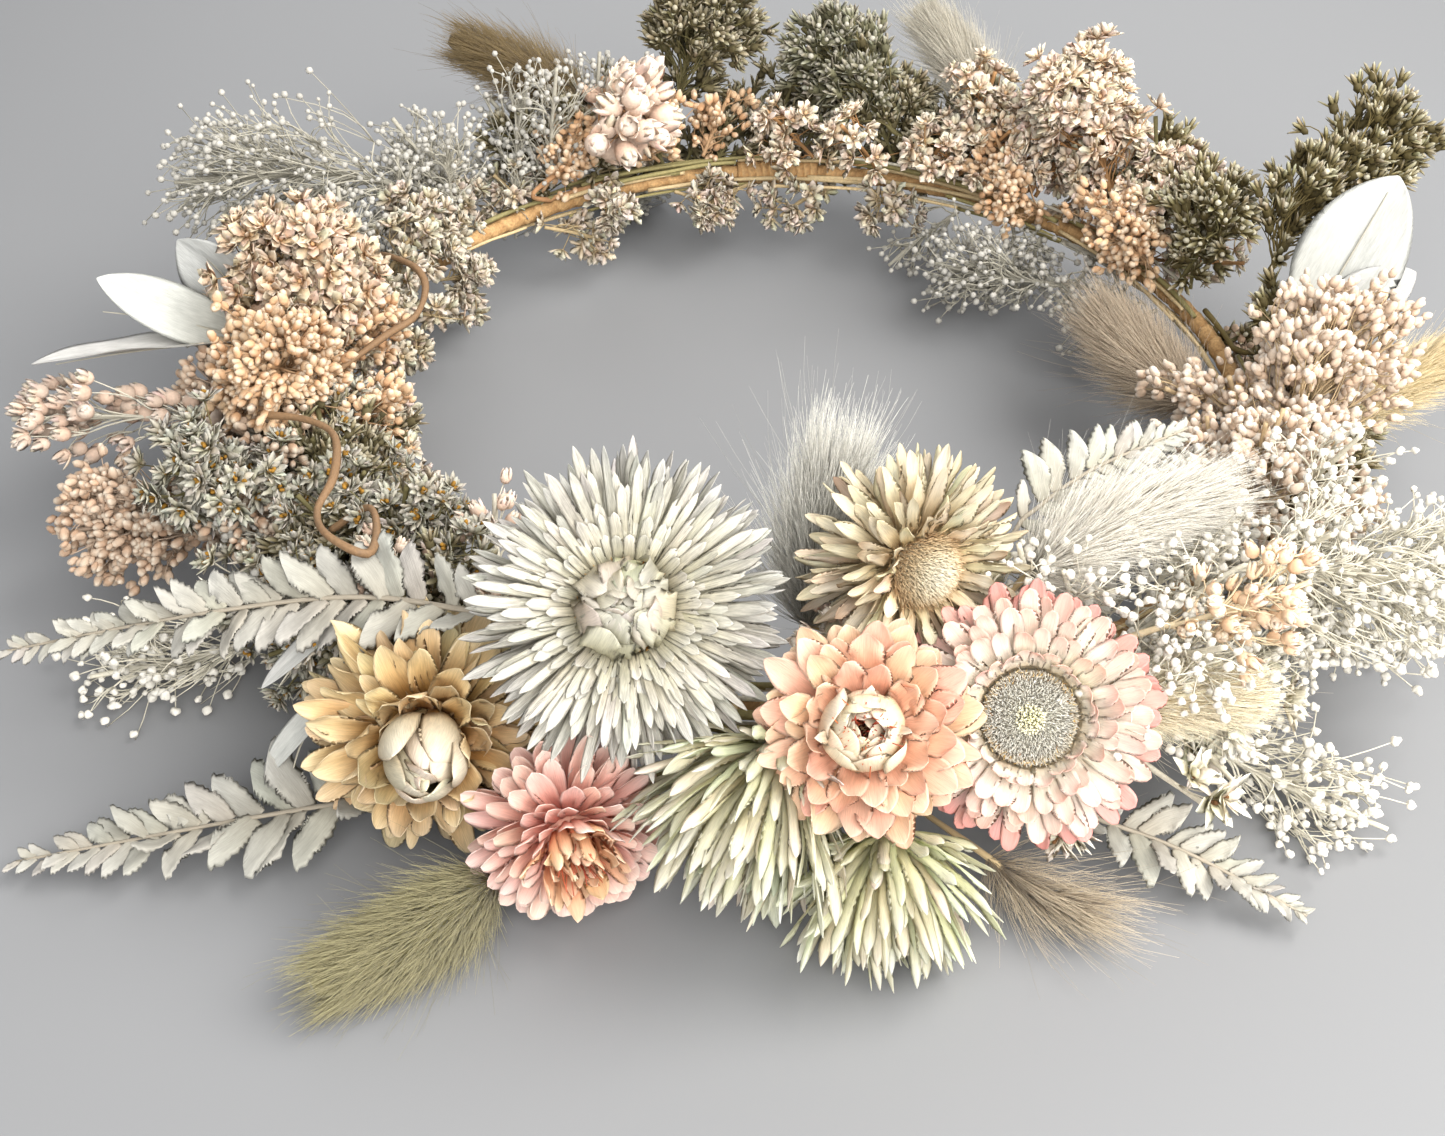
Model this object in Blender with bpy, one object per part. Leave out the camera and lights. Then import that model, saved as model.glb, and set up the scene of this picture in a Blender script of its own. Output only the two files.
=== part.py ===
"""Dried-flower crown: a paper-covered wire hoop with flowers, grasses and foliage bound round it.

Places are polar about the hoop's axis: (azimuth in degrees, radius in mm, height in mm), with azimuth 0
at +X (the wearer's left), 90 at the back and 270 at the front posy. The crown stands on z = 0.
"""
import math
import random

import bpy
from mathutils import Vector

MM = 0.001

# Hoop and binding
HOOP_CENTRE = Vector((6.35, 14.2, 0.0)) * MM   # foot of the hoop's axis, from the middle of the crown's box
HOOP_RADIUS = 97.5 * MM                  # centre line, for a 560 mm head with a lining of stems
HOOP_HEIGHT = 20.0 * MM                  # centre line above the surface that the crown stands on
WIRE_RADIUS = 0.9 * MM
COVER_INNER = 1.3 * MM
COVER_OUTER = 2.25 * MM
TAPE_INNER = 2.7 * MM
TAPE_OUTER = 3.2 * MM
JOINT_AZIMUTH = 90.0                     # the hoop's ends meet at the back
JOINT_GAP = 2.0                          # degrees between the two ends
TAPE_SPAN = 9.0                          # degrees covered by the tape sleeve
HOOP_STEPS = 48
BINDING_TURNS = 30
BINDING_RADIUS = 5.0 * MM                # from the hoop's centre line to the binding wire's
BINDING_WIRE_RADIUS = 0.6 * MM
BINDING_STEPS = 8                        # points in one turn

# Stems lie in slots round the hoop, under the binding, and leave between two turns of it
SLOT_COUNT = 12
SLOT_RADIUS = 3.15 * MM
STEM_RADIUS = 0.55 * MM
STEM_SIDES = 5
STEM_RUN = 9.0                           # degrees of hoop that a bound stem lies along
EXIT_RADIUS = 7.6 * MM
STEM_SPACING = 1.5                       # degrees of hoop kept clear at each end of a bound stem
EXIT_LEAN = 3.0                          # degrees of hoop that a stem uses to rise clear of the binding
GAP = 0.3 * MM                           # left between touching solids
STEM_STEPS = [1, 1, 2, 2]                # steps in the spans of a stem: bound, bound, rising, to its neck
APPROACH = 5.0 * MM                      # length of stem that stands square behind a strawflower

# Heads
TIP_RADIUS = 0.3 * MM                    # least half size of a head's section
LEAF_THICKNESS = 0.9 * MM
FROND_GAP_SHARE = 0.45                   # width of a frond between its leaflets, as a share of its full width
FROND_RINGS = 26
HEAD_LOBE_DEPTH = 0.10                   # how far a strawflower's rim waves in between its outer bracts

# Colours: linear RGB
TAN_PAPER = (0.45, 0.27, 0.13)
STEEL = (0.40, 0.40, 0.40)
GREEN_WIRE = (0.16, 0.20, 0.10)
STRAW = (0.55, 0.42, 0.24)
BLEACHED = (0.82, 0.79, 0.74)


def polar(azimuth, radius, height):
    """A point from azimuth in degrees and radius and height in millimetres."""
    angle = math.radians(azimuth)
    offset = Vector((math.cos(angle) * radius, math.sin(angle) * radius, height)) * MM
    return HOOP_CENTRE + offset


def round_hoop(azimuth, section_angle, section_radius):
    """A point at a distance from the hoop's centre line; section angle 0 is outward and 90 is up."""
    turn = math.radians(section_angle)
    radius = HOOP_RADIUS + math.cos(turn) * section_radius
    height = HOOP_HEIGHT + math.sin(turn) * section_radius
    return polar(azimuth, radius / MM, height / MM)


def catmull(points, steps):
    """A smooth curve through the points, with the given number of steps in each span."""
    path = [points[0]]
    for i in range(len(points) - 1):
        before = points[max(i - 1, 0)]
        start = points[i]
        end = points[i + 1]
        after = points[min(i + 2, len(points) - 1)]
        for step in range(1, steps[i] + 1):
            t = step / steps[i]
            path.append(0.5 * ((2.0 * start) + (end - before) * t
                               + (2.0 * before - 5.0 * start + 4.0 * end - after) * t * t
                               + (3.0 * start - before - 3.0 * end + after) * t * t * t))
    return path


def frames(path, facing):
    """Side and normal vectors at each point, carried along from the last point so that nothing twists."""
    count = len(path)
    tangents = []
    for i in range(count):
        ahead = path[min(i + 1, count - 1)]
        behind = path[max(i - 1, 0)]
        tangents.append((ahead - behind).normalized())
    normal = facing
    sides = [None] * count
    normals = [None] * count
    for i in reversed(range(count)):
        tangent = tangents[i]
        normal = (normal - tangent * normal.dot(tangent)).normalized()
        sides[i] = normal.cross(tangent)
        normals[i] = normal
    return sides, normals


def material(name, colour, roughness=0.8, metallic=0.0):
    made = bpy.data.materials.new(name)
    made.use_nodes = True
    shader = made.node_tree.nodes["Principled BSDF"]
    shader.inputs["Base Color"].default_value = (*colour, 1.0)
    shader.inputs["Roughness"].default_value = roughness
    shader.inputs["Metallic"].default_value = metallic
    return made


def add_object(name, vertices, faces, surface):
    mesh = bpy.data.meshes.new(name)
    mesh.from_pydata([tuple(v) for v in vertices], [], faces)
    mesh.update()
    mesh.shade_smooth()
    mesh.set_sharp_from_angle(angle=math.radians(40.0))
    mesh.materials.append(surface)
    made = bpy.data.objects.new(name, mesh)
    bpy.context.collection.objects.link(made)
    made.parent = crown
    return made


def skin_rings(rings):
    """Faces between successive rings of equal length, with a flat cap on each end."""
    sides = len(rings[0])
    vertices = [v for ring in rings for v in ring]
    faces = []
    for i in range(len(rings) - 1):
        for j in range(sides):
            k = (j + 1) % sides
            faces.append((i * sides + j, i * sides + k, (i + 1) * sides + k, (i + 1) * sides + j))
    last = (len(rings) - 1) * sides
    faces.append(tuple(reversed(range(sides))))
    faces.append(tuple(range(last, last + sides)))
    return vertices, faces


def swept(name, path, sizes, sides, surface, facing=Vector((0.0, 0.0, 1.0)), rests=False):
    """A closed solid with an elliptical section of (half width, half thickness) at each path point."""
    side_vectors, normals = frames(path, facing)
    rings = []
    for point, (width, thickness), side, normal in zip(path, sizes, side_vectors, normals):
        ring = []
        for j in range(sides):
            turn = 2.0 * math.pi * j / sides
            ring.append(point + side * (math.cos(turn) * width) + normal * (math.sin(turn) * thickness))
        rings.append(ring)
    if rests:
        for ring in rings:
            for vertex in ring:
                vertex.z = max(vertex.z, 0.0)
    vertices, faces = skin_rings(rings)
    return add_object(name, vertices, faces, surface)


# Hoop

def hoop_azimuths(start, end, steps):
    return [start + (end - start) * i / steps for i in range(steps + 1)]


def hoop_tube(name, azimuths, inner, outer, sides, surface):
    """A tube along the hoop with open ends: outer wall, inner wall and two end rims."""
    rings = []
    for azimuth in azimuths:
        for radius in (outer, inner):
            rings.append([round_hoop(azimuth, -360.0 * (j + 0.5) / sides, radius) for j in range(sides)])
    vertices = [v for ring in rings for v in ring]
    faces = []
    last = len(azimuths) - 1
    for j in range(sides):
        k = (j + 1) % sides
        for i in range(last):
            a = 2 * i * sides
            b = a + 2 * sides
            faces.append((a + j, a + k, b + k, b + j))
            faces.append((a + sides + k, a + sides + j, b + sides + j, b + sides + k))
        faces.append((j, sides + j, sides + k, k))
        end = 2 * last * sides
        faces.append((end + k, end + sides + k, end + sides + j, end + j))
    return add_object(name, vertices, faces, surface)


def make_hoop():
    start = JOINT_AZIMUTH + JOINT_GAP / 2.0
    end = start + 360.0 - JOINT_GAP
    azimuths = hoop_azimuths(start, end, HOOP_STEPS)
    core_path = [round_hoop(a, 0.0, 0.0) for a in azimuths]
    core_sizes = [(WIRE_RADIUS, WIRE_RADIUS)] * len(core_path)
    swept("hoop_wire_core", core_path, core_sizes, 6, material("steel_wire", STEEL, 0.35, 1.0))
    paper = material("tan_paper", TAN_PAPER, 0.85)
    hoop_tube("hoop_paper_cover", azimuths, COVER_INNER, COVER_OUTER, 8, paper)
    tape_azimuths = hoop_azimuths(JOINT_AZIMUTH - TAPE_SPAN / 2.0, JOINT_AZIMUTH + TAPE_SPAN / 2.0, 2)
    hoop_tube("hoop_joint_tape", tape_azimuths, TAPE_INNER, TAPE_OUTER, 8, paper)


def make_binding():
    """One wire wound round the hoop and its stems, starting and ending at the hoop's joint."""
    count = BINDING_TURNS * BINDING_STEPS
    path = []
    for i in range(count - BINDING_STEPS // 2):
        azimuth = 360.0 * i / count + JOINT_AZIMUTH
        path.append(round_hoop(azimuth, azimuth * BINDING_TURNS, BINDING_RADIUS))
    sizes = [(BINDING_WIRE_RADIUS, BINDING_WIRE_RADIUS)] * len(path)
    swept("binding_wire", path, sizes, 4, material("binding_paper", TAN_PAPER, 0.8))


# Stems

slots_in_use = []


def angle_apart(first, second):
    return abs((first - second + 180.0) % 360.0 - 180.0)


def exit_near(azimuth, slot_angle):
    """The azimuth nearest to the wanted one that is midway between turns of binding at a slot."""
    pitch = 360.0 / BINDING_TURNS
    first = (slot_angle + 180.0) / BINDING_TURNS
    return first + pitch * round((azimuth - first) / pitch)


def take_slot(azimuth, leaves_towards, run):
    """The free slot nearest to a section angle, with the azimuths of its exit and of its bound end."""
    angles = [360.0 * i / SLOT_COUNT for i in range(SLOT_COUNT)]
    for slot_angle in sorted(angles, key=lambda a: angle_apart(a, leaves_towards)):
        leave_at = exit_near(azimuth, slot_angle)
        bound_end = leave_at + run
        low = min(leave_at, bound_end) - STEM_SPACING
        high = max(leave_at, bound_end) + STEM_SPACING
        clear = high < JOINT_AZIMUTH - TAPE_SPAN / 2.0 or low > JOINT_AZIMUTH + TAPE_SPAN / 2.0
        for used_angle, used_low, used_high in slots_in_use:
            if used_angle == slot_angle and low < used_high and high > used_low:
                clear = False
        if clear:
            slots_in_use.append((slot_angle, low, high))
            return slot_angle, leave_at, bound_end
    raise RuntimeError("no free slot at azimuth %.0f" % azimuth)


def bound_stem(azimuth, leaves_towards, run=STEM_RUN):
    """Path points of a stem from its bound end to where it has left the binding."""
    slot_angle, leave_at, bound_end = take_slot(azimuth, leaves_towards, run)
    lean = -math.copysign(EXIT_LEAN, run)
    points = []
    for share in (1.0, 0.5, 0.0):
        along = leave_at + (bound_end - leave_at) * share - lean / 2.0
        points.append(round_hoop(along, slot_angle, SLOT_RADIUS))
    points.append(round_hoop(leave_at + lean / 2.0, slot_angle, EXIT_RADIUS))
    return points


def stem_sizes(count):
    return [(STEM_RADIUS, STEM_RADIUS)] * count


# Plants whose stem and head are one piece

def plant(name, azimuth, leaves_towards, run, points, head_steps, head_size, sides, surface,
          facing=Vector((0.0, 0.0, 1.0)), rests=False):
    """A stem bound to the hoop that carries a head along the given polar points, neck first.

    head_size gives (half width, half thickness) for a share of the head's length and a ring number.
    """
    controls = bound_stem(azimuth, leaves_towards, run) + [polar(*p) for p in points]
    steps = STEM_STEPS + [head_steps] * (len(points) - 1)
    path = catmull(controls, steps)
    neck = sum(STEM_STEPS)
    sizes = stem_sizes(neck + 1)
    head_rings = len(path) - 1 - neck
    for i in range(1, head_rings + 1):
        width, thickness = head_size(i / head_rings, i)
        sizes.append((max(width, TIP_RADIUS), max(thickness, TIP_RADIUS)))
    return swept(name, path, sizes, sides, surface, facing, rests)


def plume(width):
    """A bunny tail: full near its base and narrowing to a soft tip."""
    def size(share, ring):
        swell = math.sin(math.pi * min(share, 0.97) ** 0.72)
        return width * swell * MM, width * swell * MM
    return size


def clump(width, thickness, seed):
    """A spray or cluster of small blooms: an uneven rounded mass."""
    chooser = random.Random(seed)

    def size(share, ring):
        swell = math.sin(math.pi * min(share, 0.93) ** 0.8) ** 0.7 * chooser.uniform(0.88, 1.0)
        return width * swell * MM, thickness * swell * MM
    return size


def blade(width):
    """A lance-shaped leaf."""
    def size(share, ring):
        return width * math.sin(math.pi * min(share, 0.985)) ** 0.75 * MM, LEAF_THICKNESS / 2.0
    return size


def frond(width):
    """A fern frond: wide rings are leaflets and narrow ones are the gaps between them."""
    def size(share, ring):
        outline = width * min(1.0, 3.5 * share) * (1.0 - share) ** 0.7
        if ring % 2 == 0:
            outline *= FROND_GAP_SHARE
        return outline * MM, LEAF_THICKNESS / 2.0
    return size


# Bunny tails: name, exit azimuth, section angle that it leaves at, run, half width, points, colour, rests
TAILS = [
    ("bunny_tail_green", 250, 300, 9, 8.0, [(247.5, 141, 9), (244.5, 156, 6), (241.5, 174, 6)],
     (0.42, 0.40, 0.24)),
    ("bunny_tail_grey", 282, 160, 9, 6.5, [(276, 84, 33), (277.5, 78, 48), (280, 71, 68)],
     (0.60, 0.58, 0.54)),
    ("bunny_tail_white", 286, 75, -9, 8.0, [(294, 97, 44), (304, 99, 50), (316, 106, 51)],
     (0.80, 0.77, 0.70)),
    ("bunny_tail_cream", 291, 10, -9, 6.5, [(296, 117, 28), (301, 122, 29), (308, 130, 29)],
     (0.74, 0.64, 0.48)),
    ("bunny_tail_beige", 277, 320, -9, 7.0, [(284.5, 131, 9), (286, 140, 5.2), (288, 156, 5)],
     (0.55, 0.46, 0.36)),
    ("bunny_tail_brown", 112, 30, -9, 8.0, [(115.5, 111, 37), (120, 120, 43), (126.5, 137, 50)],
     (0.42, 0.31, 0.18)),
    ("bunny_tail_grey_back", 56, 40, -9, 8.0, [(61, 110, 34), (67, 119, 43), (74, 129, 52)],
     (0.56, 0.50, 0.42)),
    ("bunny_tail_taupe", 350, 190, -9, 9.0, [(356, 86, 22), (6, 77, 24), (19, 72, 27)],
     (0.50, 0.42, 0.35)),
    ("bunny_tail_tan", 346, 5, -9, 7.0, [(351, 114, 26), (355, 126, 29), (359, 144, 34)],
     (0.52, 0.40, 0.24)),
]

# Fern fronds: name, exit azimuth, section angle, run, half width, points, facing
FERNS = [
    ("fern_left_upper", 250, 80, 9, 7.5, [(241, 112, 43), (230, 121, 42), (221, 142, 38), (213.5, 170, 30)],
     Vector((0.0, -0.5, 0.85))),
    ("fern_left_lower", 243, 300, 9, 9.0, [(236, 132, 10), (229, 150, 8), (221, 182, 4)],
     Vector((0.0, -0.1, 0.99))),
    ("fern_right_upper", 290, 105, -9, 6.5, [(297, 86, 46), (307, 86, 51), (319, 93, 55)],
     Vector((0.1, -0.6, 0.79))),
    ("fern_right_lower", 288, 340, -9, 8.0, [(294, 124, 9), (299, 137, 7), (303, 157, 4)],
     Vector((0.0, -0.1, 0.99))),
]

# Sprays: name, exit azimuth, section angle, run, half width, half thickness, points, colour, rests
SPRAYS = [
    ("gypsophila_left_low", 218, 330, 9, 13.0, 8.0, [(213, 114, 12), (211, 130, 6), (208, 154, 4)],
     (0.75, 0.73, 0.66), True),
    ("gypsophila_left_back", 140, 55, -9, 18.0, 15.0, [(145, 106, 36), (154, 116, 45), (165, 139, 51)],
     (0.72, 0.71, 0.67), False),
    ("gypsophila_inner_right", 34, 200, -9, 12.0, 10.0, [(40, 84, 14), (48, 75, 15), (59, 70, 16)],
     (0.74, 0.72, 0.68), False),
    ("gypsophila_right_front", 309, 40, -9, 17.0, 14.0, [(314, 112, 38), (319, 124, 38), (326, 148, 34)],
     (0.76, 0.73, 0.68), False),
    ("gypsophila_right_low", 303, 320, -9, 12.0, 8.0, [(307, 118, 11), (310, 132, 6), (313, 153, 4)],
     (0.76, 0.73, 0.68), True),
    ("gypsophila_back_rest", 120, 320, 9, 12.0, 9.0, [(114, 112, 10), (111, 119, 6), (106, 128, 5)],
     (0.72, 0.70, 0.66), True),
    ("rice_flower_left_pink", 205, 350, 9, 10.0, 9.0, [(200, 112, 20), (199, 127, 21), (200, 149, 23)],
     (0.72, 0.52, 0.44), False),
    ("rice_flower_left_salmon", 196, 85, 9, 11.0, 10.0, [(190, 101, 34), (194, 104, 43), (200, 107, 52)],
     (0.74, 0.53, 0.43), False),
    ("rice_flower_right_peach", 330, 70, -9, 13.0, 12.0, [(334, 103, 33), (341, 107, 44), (350, 113, 56)],
     (0.75, 0.58, 0.46), False),
    ("rice_flower_front_right", 297, 50, -9, 6.0, 5.5, [(302, 114, 38), (306, 122, 44), (310, 131, 52)],
     (0.74, 0.58, 0.46), False),
    ("ixodia_left", 212, 60, 9, 11.0, 9.0, [(208, 108, 31), (207, 117, 36), (206, 130, 42)],
     (0.72, 0.68, 0.55), False),
    ("broom_clump_left", 168, 90, -9, 13.0, 12.0, [(172, 101, 33), (177, 102, 44), (184, 104, 54)],
     (0.76, 0.60, 0.45), False),
    ("pink_buds_back", 126, 110, 9, 10.0, 9.0, [(122, 95, 32), (117, 94, 40), (109, 93, 48)],
     (0.70, 0.52, 0.42), False),
    ("olive_cluster_back_left", 108, 30, 9, 12.0, 12.0, [(104, 108, 33), (101, 116, 44), (96, 121, 61)],
     (0.45, 0.41, 0.30), False),
    ("olive_cluster_back_right", 68, 60, -9, 11.0, 10.0, [(73, 101, 31), (80, 105, 42), (87, 108, 54)],
     (0.48, 0.42, 0.32), False),
    ("peach_cluster_back", 34, 75, -9, 12.0, 11.0, [(38, 99, 33), (43, 100, 45), (49, 100, 60)],
     (0.70, 0.54, 0.44), False),
    ("statice_right", 8, 50, -9, 13.0, 11.0, [(12, 108, 35), (16, 119, 46), (20, 148, 60)],
     (0.40, 0.37, 0.24), False),
    ("pink_bud_stems_left", 196, 15, 9, 7.0, 5.0, [(192, 112, 29), (190.5, 132, 31), (190, 159, 33)],
     (0.74, 0.58, 0.50), False),
]

# Leaf sprigs: name, exit azimuth, section angle, run, then each leaf's half width and points, main leaf first
LEAF_SPRIGS = [
    ("leaves_left", 186, 45, 9, [(4.5, [(183, 112, 37), (186, 126, 42), (190.7, 152, 46)]),
                                 (4.5, [(183, 112, 37), (183.5, 124, 44), (186, 142, 51)])]),
    ("leaf_hanging", 233, 350, 9, [(3.2, [(230.5, 124, 26), (229.5, 136, 22), (229, 140, 9)])]),
    ("leaves_right", 357, 55, -9, [(6.0, [(1, 110, 35), (5, 118, 44), (11, 132, 59)]),
                                   (4.5, [(1, 110, 35), (2, 120, 40), (4, 132, 46)])]),
]


def make_tails():
    for name, azimuth, leaves_towards, run, width, points, colour in TAILS:
        plant(name, azimuth, leaves_towards, run, points, 5, plume(width), 6, material(name, colour, 0.9),
              rests=True)


def make_ferns():
    surface = material("fern", BLEACHED, 0.75)
    for name, azimuth, leaves_towards, run, width, points, facing in FERNS:
        rings_per_span = FROND_RINGS // (len(points) - 1)
        plant(name, azimuth, leaves_towards, run, points, rings_per_span, frond(width), 4, surface, facing)


def make_sprays():
    for seed, (name, azimuth, leaves_towards, run, width, thickness, points, colour, rests) in enumerate(SPRAYS):
        plant(name, azimuth, leaves_towards, run, points, 3, clump(width, thickness, seed), 6,
              material(name, colour, 0.9), rests=rests)


def make_leaf_sprigs():
    surface = material("leaf", BLEACHED, 0.6)
    for name, azimuth, leaves_towards, run, leaves in LEAF_SPRIGS:
        width, points = leaves[0]
        sprig = plant(name, azimuth, leaves_towards, run, points, 4, blade(width), 4, surface)
        for width, points in leaves[1:]:
            path = catmull([polar(*p) for p in points], [4] * (len(points) - 1))
            size = blade(width)
            sizes = [size(max(i / (len(path) - 1), 0.05), i) for i in range(len(path))]
            side_leaf = swept(name + "_side", path, sizes, 4, surface)
            side_leaf.hide_render = True
            side_leaf.display_type = "WIRE"
            union = sprig.modifiers.new("side_leaf", "BOOLEAN")
            union.operation = "UNION"
            union.object = side_leaf


# Strawflowers

# name, centre, axis, radius, depth behind the centre, outer bracts, disc radius, disc height,
# then exit azimuth, section angle and run of the stem, and the colours of the bracts and the disc
STRAWFLOWERS = [
    ("white_strawflower", (254.3, 110.5, 51.5), (0.03, -0.72, 0.69), 24.0, 9.0, 16, 7.5, 4.0,
     256, 70, 9, (0.80, 0.80, 0.76), (0.78, 0.70, 0.55)),
    ("cream_strawflower", (281.8, 97.0, 54.0), (0.36, -0.84, 0.40), 18.5, 8.0, 16, 6.5, 5.0,
     276, 95, -9, (0.78, 0.66, 0.44), (0.70, 0.55, 0.36)),
    ("peach_strawflower", (273.9, 127.5, 44.0), (-0.07, -0.71, 0.70), 16.0, 7.0, 14, 5.0, 5.0,
     271, 40, -9, (0.82, 0.48, 0.33), (0.80, 0.58, 0.40)),
    ("pink_rim_strawflower", (287.4, 123.0, 37.0), (-0.12, -0.74, 0.66), 16.5, 8.0, 18, 8.0, 2.5,
     284, 20, -9, (0.82, 0.60, 0.55), (0.55, 0.50, 0.42)),
    ("honey_strawflower", (239.2, 130.0, 26.5), (-0.30, -0.88, 0.25), 17.5, 8.0, 14, 5.5, 10.0,
     244, 0, 9, (0.76, 0.55, 0.32), (0.80, 0.70, 0.50)),
    ("rose_strawflower", (252.9, 132.5, 16.5), (0.30, -0.94, 0.10), 15.0, 7.0, 16, 5.0, 6.0,
     259, 340, 9, (0.80, 0.50, 0.46), (0.80, 0.52, 0.36)),
    ("green_white_strawflower", (265.5, 129.0, 25.0), (-0.40, -0.76, -0.51), 13.5, 13.0, 12, 0.0, 0.0,
     263, 15, -9, (0.74, 0.76, 0.62), None),
    ("pale_green_strawflower", (276.0, 135.0, 10.0), (0.05, -0.80, -0.60), 16.0, 12.0, 12, 0.0, 0.0,
     270, 335, -9, (0.70, 0.74, 0.54), None),
]


def axis_frame(axis):
    forward = Vector(axis).normalized()
    across = Vector((0.0, 0.0, 1.0)).cross(forward).normalized()
    return forward, across, forward.cross(across)


def head_ring(centre, frame, height, radius, count, wave=0.0):
    """A ring about a head's axis; a wave makes every second vertex stand in."""
    forward, across, upward = frame
    ring = []
    for i in range(count):
        turn = 2.0 * math.pi * i / count
        reach = radius * (1.0 - wave * (i % 2))
        ring.append(centre + forward * height + across * (math.cos(turn) * reach)
                    + upward * (math.sin(turn) * reach))
    return ring


def strawflower_bracts(name, centre, frame, radius, depth, bracts, floor_radius, surface):
    """A lobed bowl with a flat floor for the disc; heights are measured from the rim's plane."""
    count = 2 * bracts
    floor = -0.35 * depth
    rows = [
        (-depth, 0.16 * radius, 0.0),
        (-0.80 * depth, 0.50 * radius, 0.0),
        (-0.20 * depth, 0.88 * radius, 0.5 * HEAD_LOBE_DEPTH),
        (0.12 * depth, radius, HEAD_LOBE_DEPTH),
        (0.20 * depth, 0.93 * radius, HEAD_LOBE_DEPTH),
        (0.5 * floor, 0.5 * (radius + floor_radius), 0.5 * HEAD_LOBE_DEPTH),
        (floor, floor_radius, 0.0),
    ]
    rings = [head_ring(centre, frame, height, reach, count, wave) for height, reach, wave in rows]
    for ring in rings:
        for vertex in ring:
            vertex.z = max(vertex.z, 0.0)
    vertices, faces = skin_rings(rings)
    add_object(name, vertices, faces, surface)
    return floor


def strawflower_disc(name, centre, frame, floor, radius, height, surface):
    """A dome of florets, or a closed bud where it is taller than it is wide."""
    base = floor + GAP
    rows = [(base, 0.85 * radius), (base + 0.25 * height, radius), (base + 0.6 * height, 0.85 * radius),
            (base + 0.9 * height, 0.5 * radius), (base + height, 0.15 * radius)]
    rings = [head_ring(centre, frame, h, reach, 10) for h, reach in rows]
    vertices, faces = skin_rings(rings)
    add_object(name, vertices, faces, surface)


def make_strawflowers():
    wire = material("florist_wire", GREEN_WIRE, 0.5)
    for (name, place, axis, radius, depth, bracts, disc_radius, disc_height,
         azimuth, leaves_towards, run, bract_colour, disc_colour) in STRAWFLOWERS:
        centre = polar(*place)
        frame = axis_frame(axis)
        floor_radius = max(disc_radius + 1.0, 0.25 * radius) * MM
        floor = strawflower_bracts(name + "_bracts", centre, frame, radius * MM, depth * MM, bracts,
                                   floor_radius, material(name + "_bracts", bract_colour, 0.5))
        if disc_colour:
            strawflower_disc(name + "_disc", centre, frame, floor, disc_radius * MM, disc_height * MM,
                             material(name + "_disc", disc_colour, 0.9))
        back = centre - frame[0] * (depth * MM + GAP)
        controls = bound_stem(azimuth, leaves_towards, run) + [back - frame[0] * APPROACH, back]
        path = catmull(controls, STEM_STEPS + [1])
        swept(name + "_stem", path, stem_sizes(len(path)), STEM_SIDES, wire)


for old in list(bpy.data.objects):
    bpy.data.objects.remove(old)
crown = bpy.data.objects.new("crown", None)
bpy.context.collection.objects.link(crown)
make_hoop()
make_binding()
make_tails()
make_ferns()
make_sprays()
make_leaf_sprigs()
make_strawflowers()
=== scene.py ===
"""Looks of the dried-flower crown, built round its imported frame.

Lengths are in metres unless a name or a comment says millimetres. Places on the crown are polar about the
hoop's axis: azimuth in degrees (0 at +X, 90 at the back, 270 at the front posy), radius and height in mm.
"""
import math

import bmesh
import bpy
import mathutils
import numpy as np
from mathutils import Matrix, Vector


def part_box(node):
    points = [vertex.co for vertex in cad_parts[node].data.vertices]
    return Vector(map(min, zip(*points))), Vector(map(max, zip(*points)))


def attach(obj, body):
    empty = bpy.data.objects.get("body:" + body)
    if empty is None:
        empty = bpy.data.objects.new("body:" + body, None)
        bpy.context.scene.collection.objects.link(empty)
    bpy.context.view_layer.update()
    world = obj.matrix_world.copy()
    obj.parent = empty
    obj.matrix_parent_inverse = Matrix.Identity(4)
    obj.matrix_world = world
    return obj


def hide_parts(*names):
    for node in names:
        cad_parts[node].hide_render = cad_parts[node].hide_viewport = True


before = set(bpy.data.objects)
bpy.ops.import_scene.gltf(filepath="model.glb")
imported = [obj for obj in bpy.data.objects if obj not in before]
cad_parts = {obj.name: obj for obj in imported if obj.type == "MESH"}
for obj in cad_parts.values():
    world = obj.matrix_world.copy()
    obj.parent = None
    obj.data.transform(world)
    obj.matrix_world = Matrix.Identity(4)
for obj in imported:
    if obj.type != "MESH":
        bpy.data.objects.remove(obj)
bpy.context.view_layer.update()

MM = 0.001
TABLE_GIVE = 2.5 * MM
PETAL_THICKNESS = 0.10 * MM
GRAIN_OFFSETS = 60.0
GOLDEN_ANGLE = math.pi * (3.0 - math.sqrt(5.0))
UP = np.array((0.0, 0.0, 1.0))

hoop_low, hoop_high = (np.array(corner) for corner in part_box("hoop_paper_cover"))
HOOP_MIDDLE = (hoop_low + hoop_high) / 2.0
HOOP_FOOT = np.array((HOOP_MIDDLE[0], HOOP_MIDDLE[1], 0.0))
COVER_RADIUS = (hoop_high[2] - hoop_low[2]) / 2.0
HOOP_RADIUS = (hoop_high[0] - hoop_low[0]) / 2.0 - COVER_RADIUS


# Small geometry

def unit(vectors):
    vectors = np.asarray(vectors, float)
    return vectors / np.maximum(np.linalg.norm(vectors, axis=-1, keepdims=True), 1e-12)


def polar(azimuth, radius, height):
    """A point from azimuth in degrees and radius and height in millimetres."""
    angle = np.radians(azimuth)
    flat = np.stack([np.cos(angle) * radius, np.sin(angle) * radius, height + 0.0 * angle], axis=-1)
    return HOOP_FOOT + flat * MM


def round_hoop(azimuth, section_angle, section_radius):
    """A point at a distance in metres from the hoop's centre line; section angle 0 is outward, 90 is up."""
    turn = np.radians(section_angle)
    radius = HOOP_RADIUS + np.cos(turn) * section_radius
    height = HOOP_MIDDLE[2] + np.sin(turn) * section_radius
    return polar(azimuth, radius / MM, height / MM)


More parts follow.
